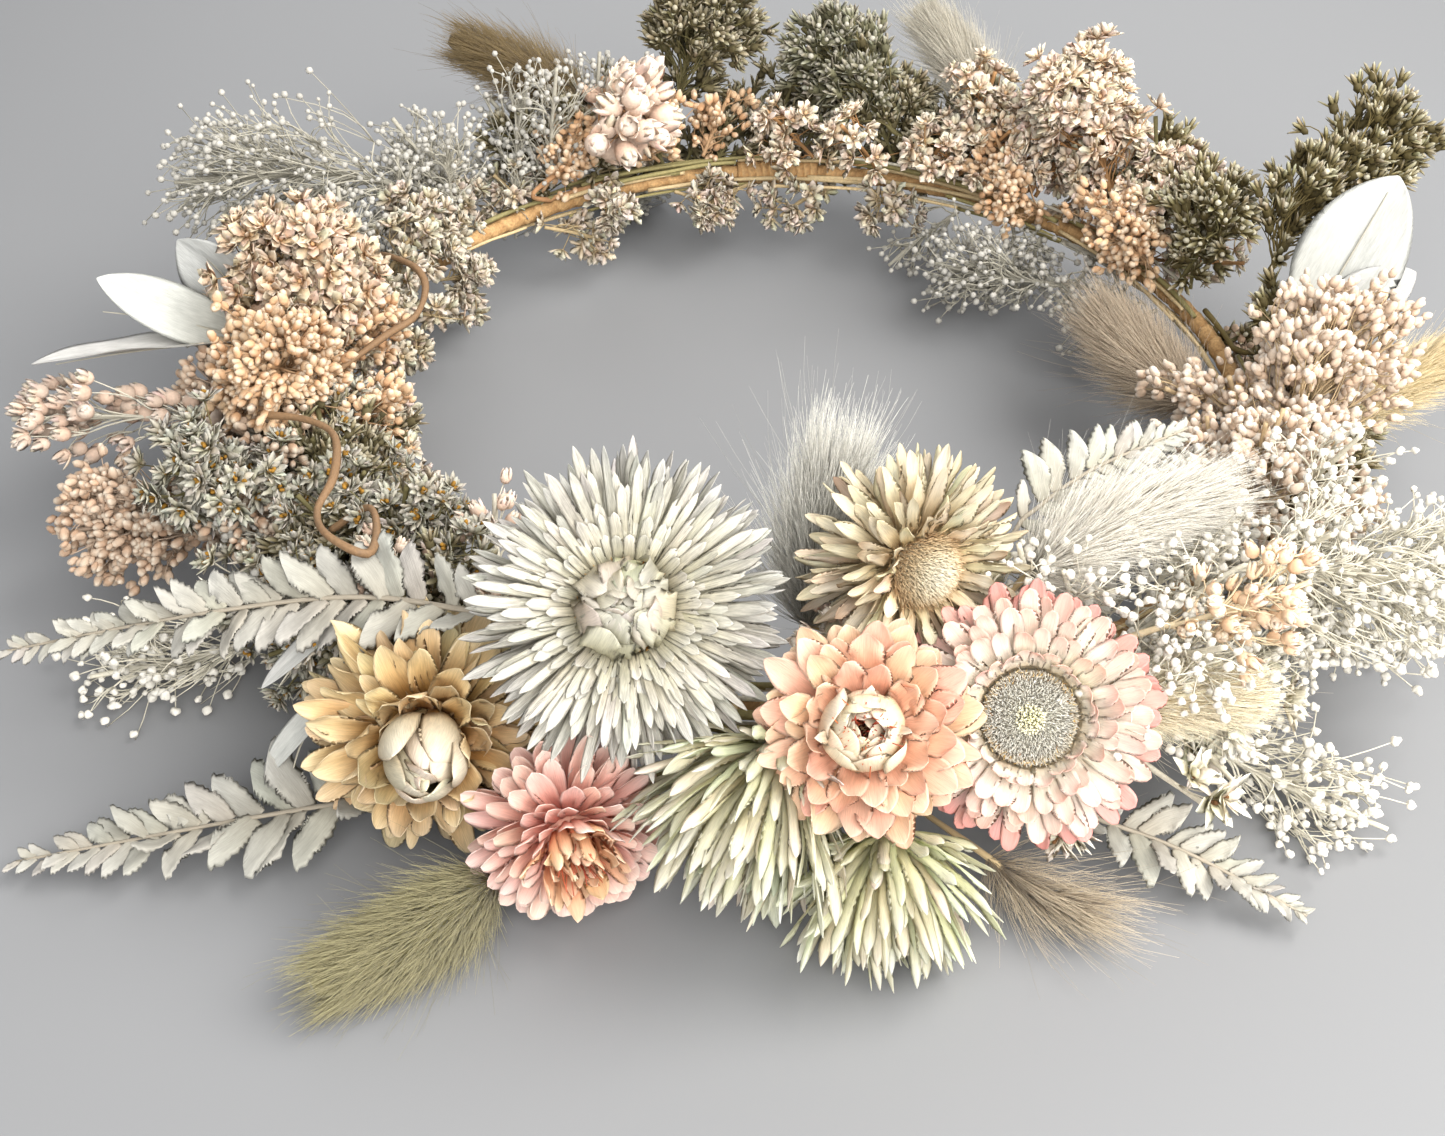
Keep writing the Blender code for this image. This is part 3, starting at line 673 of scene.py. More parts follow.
def torus_band(tissue, steps, sides, section, tint, start=0.0, stop=360.0, closed=True):
    """A tube round the hoop, whose section radius in metres is section(azimuth, section angle) in radians.

    tint is the colours of its lowest and highest places: the darker lowest colour is painted shade in its
    sunken places.
    """
    azimuth = np.linspace(start, stop, steps, endpoint=not closed)[:, None]
    turn = -np.arange(sides)[None] * 360.0 / sides
    radius = section(np.radians(azimuth), np.radians(turn))
    points = round_hoop(azimuth + 0.0 * turn, turn + 0.0 * azimuth, radius)
    grain = np.empty(points.shape)
    grain[..., 0] = turn / 25.0
    grain[..., 1] = np.radians(azimuth) * HOOP_RADIUS / MM
    grain[..., 2] = 0.0
    # Painted shade: the colour darkens from the raised places to the sunken ones.
    shade = (radius - radius.min()) / (radius.max() - radius.min() + 1e-9)
    colour = tint[0] + (tint[1] - tint[0]) * shade[..., None]
    index = np.arange(steps * sides).reshape(steps, sides)
    ahead = np.roll(index, -1, axis=0) if closed else index[1:]
    here = index if closed else index[:-1]
    quads = np.stack([here, ahead, np.roll(ahead, -1, 1), np.roll(here, -1, 1)], -1).reshape(-1, 4)[:, ::-1]
    caps = [] if closed else [index[:1], index[-1:, ::-1]]
    tissue.add(points, [quads] + caps, colour, grain)


def make_hoop():
    """A paper strip wound round the wire, each turn lapping the last, and the tape at the joint."""
    cover = Tissue("hoop_wrap")

    def wound(azimuth, turn):
        lap = (azimuth * PAPER_TURNS / (2.0 * np.pi) + turn / (2.0 * np.pi)) % 1.0
        crease = 0.05 * np.sin(azimuth * 610.0 + turn * 3.0) + 0.05 * np.sin(azimuth * 233.0 - turn * 5.0)
        return COVER_RADIUS * (0.86 + 0.14 * lap + crease * 0.5)

    torus_band(cover, 1500, 14, wound, (HOOP_PAPER_SHADED, HOOP_PAPER))
    cover.make(paper, "hoop_paper_cover", slot="hoop_paper")

    tape = Tissue("joint_wrap")

    def taped(azimuth, turn):
        lap = (azimuth * 55.0 + turn / (2.0 * np.pi)) % 1.0
        return (2.75 + 0.35 * lap + 0.05 * np.sin(azimuth * 410.0 + 4.0 * turn)) * MM

    torus_band(tape, 90, 16, taped, (HOOP_PAPER_SHADED, HOOP_PAPER * 0.9), *TAPE_AZIMUTHS, closed=False)
    tape.make(paper, "hoop_joint_tape", slot="binding_paper")


def make_binding():
    """Two twisted strands of paper-covered wire, wound unevenly round the hoop and the stems on it."""
    tissue = Tissue("binding")
    azimuth = np.linspace(0.0, 360.0, BINDING_STEPS, endpoint=False)
    angle = azimuth * BINDING_TURNS + 14.0 * np.sin(np.radians(azimuth) * 7.0)
    swell = 1.0 + 0.05 * np.sin(np.radians(azimuth) * 23.0) + 0.04 * np.sin(np.radians(azimuth) * 61.0)
    path = round_hoop(azimuth, angle, BINDING_RADIUS * swell)
    tangent = unit(np.roll(path, -1, 0) - np.roll(path, 1, 0))
    side = across_to(tangent)
    over = np.cross(tangent, side)
    for strand in range(2):
        twist = np.radians(azimuth * STRAND_TWISTS + strand * 180.0)
        strand_path = path + 0.36 * MM * spun(twist, side, over)
        tubes(tissue, np.vstack([strand_path, strand_path[:1]])[None], 0.5 * MM, BINDING_TINT, variety=0.03)
    tissue.make(paper, "binding_wire", slot="binding_paper")


def make_hoop_stems():
    """Dry stalks that lie along the hoop between the plants, under the binding."""
    tissue = Tissue("stalks_on_hoop")
    rng = tissue.rng
    for _ in range(STALK_COUNT):
        start = rng.uniform(0.0, 360.0)
        run = rng.uniform(14.0, 34.0) * rng.choice((-1.0, 1.0))
        section = rng.uniform(0.0, 360.0) + np.linspace(0.0, rng.uniform(-40.0, 40.0), STALK_POINTS)
        depth = rng.uniform(2.9, 4.3) * MM * (1.0 + 0.05 * np.sin(np.linspace(0.0, 9.0, STALK_POINTS)))
        path = round_hoop(start + run * np.linspace(0.0, 1.0, STALK_POINTS), section, depth)
        tint = (STRAW, OLIVE_STEM, CREAM_STEM, STRAW)[rng.integers(0, 4)] * rng.uniform(0.75, 1.1)
        stem(tissue, path, rng.uniform(0.35, 0.62), tint)
    tissue.make(straw)


VINE_TINT = srgb(128, 100, 72)
VINE_ROUTES = (
    ((199, 110, 40), (203, 110, 45), (207, 104, 47), (212, 101.5, 48), (218, 107, 48), (221, 114, 47),
     (225.5, 118, 49), (229.5, 116, 48), (226.5, 109, 46), (222, 105, 44), (219, 110, 38)),
    ((160, 98, 34), (163, 91, 38), (166, 83, 39), (170, 79, 38), (177, 79, 37), (182, 84, 37),
     (187, 91, 36), (192, 98, 36)),
)


def make_curly_stems():
    """Two dry curly stems that wind over the plants on the left, with both ends bound in among them."""
    tissue = Tissue("curly_vine_stems")
    for route in VINE_ROUTES:
        _, path = smooth_route(route, 110)
        stem(tissue, path, 0.75, VINE_TINT, knots=0.18)
    tissue.make(straw)


# Strawflowers

POINTED = (0.60, 0.42, 1.7, 0.85)
RIBBON = (0.94, 0.86, 1.20, 0.75)
CURLED = (0.72, 0.66, 2.4, 0.62)
ROUNDED = (0.42, 0.66, 2.3, 0.50)
SPOON = (0.34, 0.70, 2.6, 0.48)
OVAL = (0.55, 0.50, 2.0, 0.60)
SCALLOP = (0.50, 0.62, 2.0, 0.66)
BLUNT = (0.50, 0.66, 3.4, 0.45)

WHITE = shades((0.0, 226, 212, 174), (0.3, 242, 233, 208), (0.62, 249, 244, 228), (1.0, 253, 250, 242))
WHITE_INNER = shades((0.0, 236, 226, 190), (0.5, 246, 239, 214), (1.0, 253, 249, 236))
CREAM = shades((0.0, 226, 188, 132), (0.35, 250, 227, 182), (0.75, 255, 246, 220), (1.0, 252, 240, 208))
PEACH = shades((0.0, 247, 190, 142), (0.4, 252, 207, 164), (0.8, 254, 218, 180), (1.0, 255, 230, 200))
PEACH_PINK = shades((0.0, 249, 176, 140), (0.5, 252, 198, 166), (1.0, 254, 220, 196))
PINK_RIM = shades((0.0, 254, 246, 234), (0.5, 254, 236, 224), (0.8, 250, 206, 192), (1.0, 244, 176, 164))
PINK_INNER = shades((0.0, 246, 232, 204), (0.5, 254, 245, 230), (0.85, 252, 230, 216), (1.0, 250, 206, 190))
# Honey bracts: the dark brown at their feet is painted shade where they crowd together; the paler honey
# further out is their own colour.
HONEY_SHADED_BASE = shades((0.0, 176, 112, 50), (0.35, 222, 168, 98), (0.75, 248, 216, 160), (1.0, 252, 232, 190))
HONEY_BUD = shades((0.0, 240, 204, 146), (0.5, 252, 236, 200), (1.0, 255, 246, 222))
ROSE = shades((0.0, 244, 156, 136), (0.4, 252, 190, 172), (0.8, 254, 212, 198), (1.0, 255, 230, 218))
ROSE_INNER = shades((0.0, 246, 156, 112), (0.5, 253, 200, 156), (1.0, 255, 226, 194))
GREEN_WHITE = shades((0.0, 222, 218, 172), (0.4, 238, 234, 202), (0.8, 247, 244, 222), (1.0, 251, 249, 235))
PALE_GREEN = shades((0.0, 224, 224, 172), (0.4, 240, 238, 200), (0.8, 249, 247, 222), (1.0, 252, 251, 234))
OCHRE = srgb(206, 166, 88)
UMBER = srgb(112, 78, 48)
DARK_RED = srgb(168, 62, 44)

silvery = papery("silvery_bract", 0.28, 0.34, 0.42, 0.85, 0.26)
straw_bract = papery("straw_bract", 0.46, 0.28, 0.34, 0.45, 0.08)
petal = papery("tinted_bract", 0.44, 0.21, 0.38, 0.45, 0.06)
glassy = papery("glassy_bract", 0.34, 0.22, 0.60, 0.6, 0.12)
floret = dried("disc_floret", 0.7, 0.25, 0.15)

FLOWERS = {
    # name: (middle of its face, the way it faces, depth of its closed body in mm, size, way out)
    "white": (polar(254.3, 110.5, 51.5), (0.03, -0.72, 0.69), 9.0, 1.07, (256, 70, 9)),
    "cream": (polar(281.8, 98, 51), (0.46, -0.84, 0.28), 8.0, 1.02, (276, 95, -9)),
    "peach": (polar(273.9, 127.5, 44), (-0.07, -0.71, 0.70), 7.0, 0.99, (271, 40, -9)),
    "pink_rim": (polar(287.4, 123, 37), (-0.12, -0.74, 0.66), 8.0, 1.14, (284, 20, -9)),
    "honey": (polar(240.2, 129, 26.5), (0.06, -0.88, 0.38), 8.0, 1.12, (244, 0, 9)),
    "rose": (polar(252.9, 132.5, 16.5), (0.30, -0.94, 0.10), 7.0, 1.10, (259, 340, 9)),
    "green_white": (polar(265.5, 129, 25), (-0.40, -0.76, -0.51), 13.0, 1.12, (263, 15, -9)),
    "pale_green": (polar(276, 135, 10), (0.05, -0.80, -0.60), 12.0, 1.04, (270, 335, -9)),
}


class Strawflower:
    """One flower's bracts, disc and stalk. Rings and tufts are given in mm for a flower of usual size."""

    def __init__(self, name):
        self.name = name
        self.place, axis, self.depth, self.size, self.way_out = FLOWERS[name]
        self.axis = unit(np.array(axis))
        self.bracts = Tissue(name + "_strawflower_bracts")
        self.disc = Tissue(name + "_strawflower_disc")

    def ring(self, tissue, count, base, lift, length, width, rise, shape, stops, **more):
        whorl(tissue, self.place, self.axis, count, base * self.size, lift * self.size, length * self.size,
              width * self.size, rise, shape, stops, turn=tissue.rng.uniform(), **more)

    def rings(self, tissue, shape, stops, sizes, twist=0.0, **more):
        """Rings that share a look. Each has sizes (count, base, lift, length, width, rise, bend)."""
        for count, base, lift, length, width, rise, bend in sizes:
            if twist:
                more["twist"] = twist * self.bracts.rng.standard_normal(count)
            self.ring(tissue, count, base, lift, length, width, rise, shape, stops, bend=bend, **more)

    def tuft(self, count, inner, outer, lift, dome, length, thick, lean, stops, jitter, **more):
        tuft(self.disc, self.place, self.axis, count, inner * self.size, outer * self.size,
             lift * self.size, dome * self.size, length * self.size, thick, lean, stops, jitter, **more)

    def heart(self, radius, dome, tint):
        """The closed body that carries the disc and the bracts' feet."""
        share = np.linspace(0.0, 1.0, 15)
        bottom, rim = -self.depth, -0.25 * self.depth
        turn = np.clip((share - 0.4) / 0.6, 0.0, 1.0) * 0.5 * np.pi
        height = np.where(share < 0.4, bottom + (rim - bottom) * share / 0.4,
                          rim + (dome * self.size - rim) * np.sin(turn))
        girth = np.where(share < 0.4, 0.25 + 0.75 * (share / 0.4) ** 0.7, np.maximum(np.cos(turn), 0.04))
        path = self.place + self.axis * (height * MM)[:, None]
        tubes(self.bracts, path[None], (girth * radius * self.size * MM)[None], tint, sides=28, variety=0.0)

    def finish(self, surface, disc_surface=None, disc_slot=None):
        painted_shade = painted_shade_of(self.name, None)
        self.bracts.make(surface, self.name + "_strawflower_bracts", slot=self.name + "_bract", painted_shade=painted_shade)
        if disc_slot:
            self.disc.make(disc_surface, self.name + "_strawflower_disc", slot=disc_slot, painted_shade=painted_shade)
        stalk = Tissue(self.name + "_strawflower_stem")
        neck = self.place - self.axis * self.depth * MM
        start, ahead = neck - self.axis * 1.5 * MM, neck + self.axis * 4.0 * MM
        stem(stalk, stem_path(self.way_out, start, ahead), 0.9, OLIVE_STEM)
        stalk.make(straw, self.name + "_strawflower_stem", slot=self.name + "_bract")


def make_white_flower():
    """Long silvery ribbons in many rows, a cream halo, an amber ring and a button of crumpled bracts."""
    bloom = Strawflower("white")
    bloom.heart(6.6, 0.9, srgb(240, 234, 206))
    warm_edge = (srgb(232, 228, 212), 0.25)
    bloom.rings(bloom.bracts, RIBBON, WHITE, (
        (32, 6.0, -6.0, 16.6, 1.9, -22, 0.30), (38, 6.0, -5.0, 18.4, 1.9, -8, 0.22),
        (42, 6.0, -4.0, 19.0, 1.9, 3, 0.14), (43, 6.2, -3.0, 18.6, 1.9, 12, 0.08),
        (42, 6.5, -2.0, 17.4, 1.9, 20, 0.0)),
        twist=0.7, cup=0.40, rows=15, ripple=0.20, midrib=0.14, edge=warm_edge, spread=0.34, tilt=4.0,
        uneven=0.07, variety=0.03)
    bloom.rings(bloom.bracts, RIBBON, WHITE_INNER, (
        (44, 6.7, -1.3, 15.0, 1.8, 26, -0.35), (46, 6.8, -1.0, 12.0, 1.8, 30, -0.35),
        (44, 6.9, -0.6, 8.6, 1.8, 35, -0.35), (38, 7.1, -0.2, 5.2, 1.8, 41, -0.35)),
        cup=0.35, ripple=0.08, spread=0.25, tilt=2.0, uneven=0.10, variety=0.02,
        thickness=0.08 * MM)
    marked = shades((0.0, 226, 160, 76), (1.0, 246, 212, 148))
    bloom.tuft(64, 6.7, 7.5, 0.5, 0.4, 1.6, 0.13, -0.2, marked, 0.5)
    bloom.rings(bloom.disc, CURLED, WHITE_INNER, (
        (11, 6.9, -0.6, 10.5, 6.2, 66, 1.95), (10, 6.2, 0.0, 9.5, 6.0, 68, 1.95),
        (8, 5.0, 0.8, 8.5, 5.6, 70, 1.85), (6, 3.4, 1.5, 7.0, 5.2, 66, 1.75),
        (4, 1.8, 2.0, 5.6, 4.6, 60, 1.5)),
        twist=0.35, cup=0.45, ripple=0.45, rows=14, cols=6, spread=0.35, tilt=6.0, uneven=0.07,
        teeth=(3, 0.10))
    bloom.finish(silvery, glassy, "white_disc")


def make_cream_flower():
    """Straw-coloured bracts rolled in at their edges, some brown at the tip, round a thick fuzzy disc."""
    bloom = Strawflower("cream")
    rng = bloom.bracts.rng
    bloom.heart(6.0, 1.4, srgb(248, 230, 190))
    tan_edge = (srgb(232, 204, 154), 0.35)
    for count, base, lift, length, rise, bend in (
            (24, 4.5, -6.4, 14.0, -30, 0.25), (28, 4.5, -5.4, 15.2, -13, 0.15),
            (30, 4.5, -4.5, 15.6, 1, 0.05), (30, 4.8, -3.6, 15.0, 13, -0.05),
            (28, 5.0, -2.7, 13.8, 24, -0.10), (26, 5.2, -1.8, 12.0, 35, -0.15),
            (22, 5.4, -1.0, 9.4, 46, -0.15)):
        browned = (rng.uniform(0.0, 1.0, count) > 0.90) * 0.8
        bloom.ring(bloom.bracts, count, base, lift, length, 3.0, rise, CURLED, CREAM, bend=bend, cup=0.9,
                   twist=0.7 * rng.standard_normal(count), rows=14, ripple=0.32, edge=tan_edge, spread=0.34,
                   tilt=6.0, uneven=0.07, teeth=(4, 0.08), blush=(UMBER * 1.6, browned))
    fuzz = shades((0.0, 255, 250, 232), (0.5, 250, 238, 210), (0.8, 232, 208, 168), (1.0, 206, 170, 126))
    bloom.tuft(2400, 0.0, 6.0, -0.2, 3.4, 1.9, 0.085, 0.45, fuzz, 0.14, curl=0.5, points=3, sides=3)
    fringe = shades((0.0, 240, 216, 174), (1.0, 204, 166, 118))
    bloom.tuft(130, 5.2, 6.8, -0.8, 0.8, 3.6, 0.09, 0.9, fringe, 0.3)
    bloom.finish(straw_bract, floret, "cream_disc")


def make_peach_flower():
    """Broad lapping bracts, and an inner globe of pale ones that opens on dark red stamens."""
    bloom = Strawflower("peach")
    rng = bloom.bracts.rng
    bloom.heart(5.2, 3.0, srgb(236, 178, 130))
    pale_edge = (srgb(255, 238, 214), 0.35)
    for count, base, lift, length, width, rise, bend, stops in (
            (15, 4.0, -5.0, 13.4, 6.6, -20, 0.26, PEACH), (17, 4.2, -4.1, 14.4, 6.8, -6, 0.16, PEACH),
            (17, 4.4, -3.3, 14.4, 6.8, 5, 0.12, PEACH), (16, 4.6, -2.5, 13.2, 6.4, 16, 0.12, PEACH_PINK),
            (15, 4.9, -1.7, 11.2, 6.0, 29, 0.16, PEACH), (13, 5.1, -0.9, 8.8, 5.6, 43, 0.28, PEACH_PINK)):
        pink = rng.uniform(0.0, 1.0, count) ** 3 * 0.55
        bloom.ring(bloom.bracts, count, base, lift, length, width, rise, SCALLOP, stops, bend=bend,
                   cup=0.40, twist=0.22 * rng.standard_normal(count), rows=18, cols=8, ripple=0.30,
                   edge=pale_edge, spread=0.22, tilt=3.5, uneven=0.07, midrib=0.05, teeth=(4, 0.07),
                   variety=0.04, blush=(srgb(250, 160, 146), pink))
    pale = shades((0.0, 252, 206, 160), (0.6, 255, 230, 198), (1.0, 255, 242, 220))
    bloom.rings(bloom.disc, SCALLOP, pale, (
        (8, 5.2, -0.8, 11.0, 8.4, 56, 1.50), (8, 4.7, -0.4, 10.4, 7.6, 62, 1.45),
        (7, 4.1, 0.2, 9.6, 6.8, 68, 1.30), (7, 3.3, 0.8, 8.4, 5.6, 74, 1.05)),
        cup=0.75, ripple=0.2, rows=14, cols=6, spread=0.18, tilt=4.0, uneven=0.07)
    bloom.ring(bloom.disc, 5, 3.6, 3.5, 5.4, 3.4, 62, POINTED, pale, bend=-0.4, cup=0.7, ripple=0.4,
               rows=10, spread=0.5, tilt=14.0, uneven=0.2, twist=0.5 * rng.standard_normal(5))
    stamens = ((0.0, DARK_RED), (0.6, srgb(196, 84, 56)), (1.0, srgb(226, 136, 84)))
    bloom.tuft(70, 0.0, 2.2, 3.0, 0.6, 6.4, 0.17, 0.30, stamens, 0.18)
    bloom.finish(petal, petal, "peach_disc")


def make_pink_rim_flower():
    """Crowded short bracts, white inside and pink at the rim, round a wide grey-white velvet disc."""
    bloom = Strawflower("pink_rim")
    rng = bloom.bracts.rng
    bloom.heart(7.0, 1.2, srgb(246, 240, 224))
    for count, base, lift, length, rise, bend, stops in (
            (26, 6.6, -6.2, 10.8, -32, 0.26, PINK_RIM), (30, 6.8, -5.2, 12.0, -14, 0.20, PINK_RIM),
            (32, 7.0, -4.2, 12.4, 0, 0.12, PINK_RIM), (32, 7.0, -3.2, 11.6, 12, 0.10, PINK_INNER),
            (30, 7.1, -2.2, 10.2, 24, 0.10, PINK_INNER), (28, 7.3, -1.2, 7.6, 38, 0.14, PINK_INNER),
            (26, 7.4, -0.4, 4.4, 58, 0.20, PINK_INNER)):
        deep = rng.uniform(0.0, 0.35 if stops is PINK_RIM else 0.05, count)
        bloom.ring(bloom.bracts, count, base, lift, length, 3.3, rise, BLUNT, stops, bend=bend, cup=0.45,
                   twist=0.22 * rng.standard_normal(count), rows=13, cols=5, ripple=0.24, spread=0.22,
                   tilt=4.0, uneven=0.06, midrib=0.06, variety=0.03, blush=(srgb(240, 150, 146), deep))
    fuzz = shades((0.0, 250, 246, 222), (0.35, 250, 247, 236), (0.8, 244, 241, 232), (1.0, 236, 228, 210))
    bloom.tuft(3400, 0.0, 6.4, -0.1, 1.8, 1.7, 0.075, 0.35, fuzz, 0.14, points=3, sides=3)
    fringe = ((0.0, UMBER * 2.4), (0.4, OCHRE * 1.15), (1.0, srgb(246, 224, 170)))
    bloom.tuft(110, 6.2, 7.2, -0.2, 0.4, 1.8, 0.12, -0.4, fringe, 0.3, points=3)
    eye = shades((0.0, 244, 238, 190), (1.0, 246, 242, 214))
    bloom.tuft(110, 0.0, 1.9, 1.7, 0.4, 1.3, 0.20, 0.3, eye, 0.12, points=3, taper=0.8)
    bloom.finish(petal, floret, "pink_rim_disc")


def make_honey_flower():
    """Honey bracts that stand up behind and hang like a fringe in front of an egg-shaped bud."""
    bloom = Strawflower("honey")
    bloom.heart(4.8, 4.0, srgb(244, 208, 150))
    edge = (srgb(253, 236, 198), 0.40)
    bloom.rings(bloom.bracts, CURLED, HONEY_SHADED_BASE, (
        (20, 4.0, -6.6, 13.8, 4.0, -36, 0.15), (22, 4.0, -5.8, 15.0, 4.2, -20, -0.05),
        (22, 4.2, -5.0, 15.6, 4.4, -6, -0.15), (21, 4.4, -4.2, 15.2, 4.6, 8, -0.25),
        (19, 4.6, -3.4, 14.2, 4.6, 21, -0.25), (17, 4.8, -2.6, 13.0, 4.8, 34, -0.10),
        (14, 4.9, -1.8, 11.8, 5.2, 47, 0.10), (12, 4.8, -1.0, 10.6, 5.2, 59, 0.25)),
        twist=0.45, cup=0.75, rows=16, cols=8, ripple=0.34, edge=edge, spread=0.32, tilt=8.0,
        uneven=0.11, midrib=0.08)
    brown_edge = (srgb(222, 184, 130), 0.45)
    bloom.rings(bloom.disc, OVAL, HONEY_BUD, (
        (6, 4.2, -1.4, 18.0, 9.4, 64, 1.20), (5, 3.6, 0.0, 18.0, 9.0, 69, 1.14),
        (4, 2.6, 1.4, 17.2, 8.2, 75, 1.02), (3, 1.6, 2.8, 15.4, 7.0, 80, 0.85)),
        cup=1.0, rows=16, cols=10, ripple=0.05, edge=brown_edge, spread=0.12, tilt=2.0,
        uneven=0.05)
    bloom.finish(straw_bract, straw_bract, "honey_bud")


def make_rose_flower():
    """Spoon-shaped rose bracts, paler at the tip, round a loose peach funnel with dark red stamens."""
    bloom = Strawflower("rose")
    rng = bloom.bracts.rng
    bloom.heart(4.6, -0.2, srgb(248, 184, 160))
    edge = (srgb(255, 232, 220), 0.35)
    for count, base, lift, length, width, rise, bend in (
            (17, 4.0, -5.8, 11.0, 4.2, -30, 0.30), (20, 4.2, -5.0, 12.0, 4.3, -14, 0.22),
            (21, 4.2, -4.2, 12.2, 4.3, 0, 0.16), (21, 4.2, -3.4, 11.4, 4.2, 12, 0.12),
            (20, 4.2, -2.5, 10.2, 4.0, 25, 0.10), (18, 4.2, -1.7, 9.0, 3.8, 38, 0.10),
            (16, 4.2, -0.9, 7.8, 3.4, 52, 0.12)):
        bloom.ring(bloom.bracts, count, base, lift, length, width, rise, SPOON, ROSE, bend=bend, cup=0.7,
                   twist=0.16 * rng.standard_normal(count), rows=13, cols=6, ripple=0.10, edge=edge,
                   spread=0.18, tilt=3.5, uneven=0.07, midrib=0.08, variety=0.04,
                   blush=(srgb(255, 232, 222), rng.uniform(0.0, 0.7, count)))
    for count, base, length, rise, bend, width in ((14, 4.0, 8.4, 64, 0.40, 3.4),
                                                   (13, 3.2, 8.0, 74, 0.35, 3.2),
                                                   (11, 2.2, 7.2, 82, 0.25, 2.8)):
        bloom.ring(bloom.disc, count, base, -0.6, length, width, rise, CURLED, ROSE_INNER, bend=bend,
                   cup=1.0, ripple=0.25, spread=0.30, tilt=7.0, uneven=0.11,
                   twist=0.3 * rng.standard_normal(count))
    stamens = ((0.0, DARK_RED), (1.0, srgb(220, 118, 84)))
    bloom.tuft(30, 0.0, 2.2, 0.2, 0.6, 6.6, 0.15, 0.3, stamens, 0.22)
    bloom.finish(petal, petal, "rose_disc")


def make_green_flowers():
    """Two half-open flowers that face the table. Their long bracts sweep forward round a pale heart."""
    kinds = (("green_white", GREEN_WHITE, 34, 21.0), ("pale_green", PALE_GREEN, 32, 19.5))
    for name, stops, count, length in kinds:
        bloom = Strawflower(name)
        rng = bloom.bracts.rng
        bloom.heart(6.5, -0.3 * bloom.depth, stops[2][1])
        foot = -bloom.depth / bloom.size
        rises = ((14, 0.62), (25, 0.82), (36, 0.96), (46, 1.02), (56, 1.02), (67, 0.98), (78, 0.9))
        for k, (rise, shrink) in enumerate(rises):
            bloom.ring(bloom.bracts, count, 3.4, foot + 0.7 * k, length * shrink, 2.2, rise, RIBBON, stops,
                       bend=0.34, cup=0.55, twist=0.7 * rng.standard_normal(count), rows=15, ripple=0.30,
                       spread=0.42, tilt=8.0, uneven=0.10, teeth=(5, 0.08), midrib=0.08)
        for base, rise, share in ((4.0, 84, 0.80), (2.5, 92, 0.74)):
            bloom.ring(bloom.bracts, 14, base, foot + 4.0, length * share, 4.2, rise, CURLED, stops,
                       bend=0.5, cup=0.6, twist=0.9 * rng.standard_normal(14), rows=14, cols=6, ripple=0.6,
                       spread=0.4, tilt=12.0, uneven=0.12, teeth=(5, 0.10))
        bloom.finish(glassy)


# Bunny tails

SILVER_HAIR = (srgb(222, 214, 198), srgb(248, 244, 234))
TAILS = {
    # name: (way out, half width, spots, root and tip colours, hairs, slot)
    "bunny_tail_green": ((250, 300, 9), 8.0, ((247.5, 139, 9), (244.5, 153, 6), (241.5, 169, 6)),
                         (srgb(134, 126, 84), srgb(186, 178, 138)), 5200, "plume_green"),
    "bunny_tail_grey": ((282, 160, 9), 9.0, ((271, 86, 30), (272.5, 80, 43), (275, 74, 59)),
                        (srgb(176, 172, 160), srgb(222, 220, 212)), 4200, "plume_grey"),
    "bunny_tail_white": ((286, 75, -9), 8.0, ((294, 97, 44), (304, 99, 50), (316, 106, 51)),
                         SILVER_HAIR, 5200, "plume_white"),
    "bunny_tail_cream": ((291, 10, -9), 6.5, ((296, 117, 28), (301, 122, 29), (308, 130, 29)),
                         (srgb(226, 208, 168), srgb(248, 238, 214)), 4200, "plume_cream"),
    "bunny_tail_beige": ((277, 320, -9), 4.0, ((284.5, 127, 9), (287, 133, 5.2), (290.5, 141, 5)),
                         (srgb(158, 138, 112), srgb(206, 192, 168)), 900, "plume_beige"),
    "bunny_tail_brown": ((112, 30, -9), 8.0, ((115.5, 111, 37), (120, 120, 43), (126.5, 137, 50)),
                         (srgb(160, 132, 84), srgb(194, 168, 118)), 3200, "plume_brown"),
    "bunny_tail_grey_back": ((56, 40, -9), 8.0, ((61, 110, 34), (67, 119, 43), (74, 129, 52)),
                             (srgb(186, 178, 160), srgb(214, 208, 194)), 3200, "plume_beige"),
    "bunny_tail_taupe": ((350, 190, -9), 9.0, ((356, 86, 22), (6, 77, 24), (19, 72, 27)),
                         (srgb(170, 150, 126), srgb(206, 190, 168)), 3600, "plume_beige"),
    "bunny_tail_tan": ((346, 5, -9), 7.0, ((351, 114, 26), (355, 126, 29), (359, 144, 34)),
                       (srgb(206, 184, 136), srgb(232, 216, 178)), 3000, "plume_tan"),
}
# A wispy tail's core, as a share of the half width, and how much longer its hairs are.
WISPY = {"bunny_tail_beige": (0.16, 3.2), "bunny_tail_grey": (0.42, 1.35), "bunny_tail_white": (0.45, 1.15)}

TAIL_POINTS = 40

down = downy("plume_hair", 0.7, 0.35)


def rod_shape(points, width):
    """An oval head's radius along its length: quickly full, then drawn in to a blunt tip."""
    share = np.linspace(0.0, 1.0, points)
    return width * np.maximum(np.sin(np.pi * np.clip(0.06 + 0.90 * share, 0.0, 1.0)) ** 0.55, 0.1)


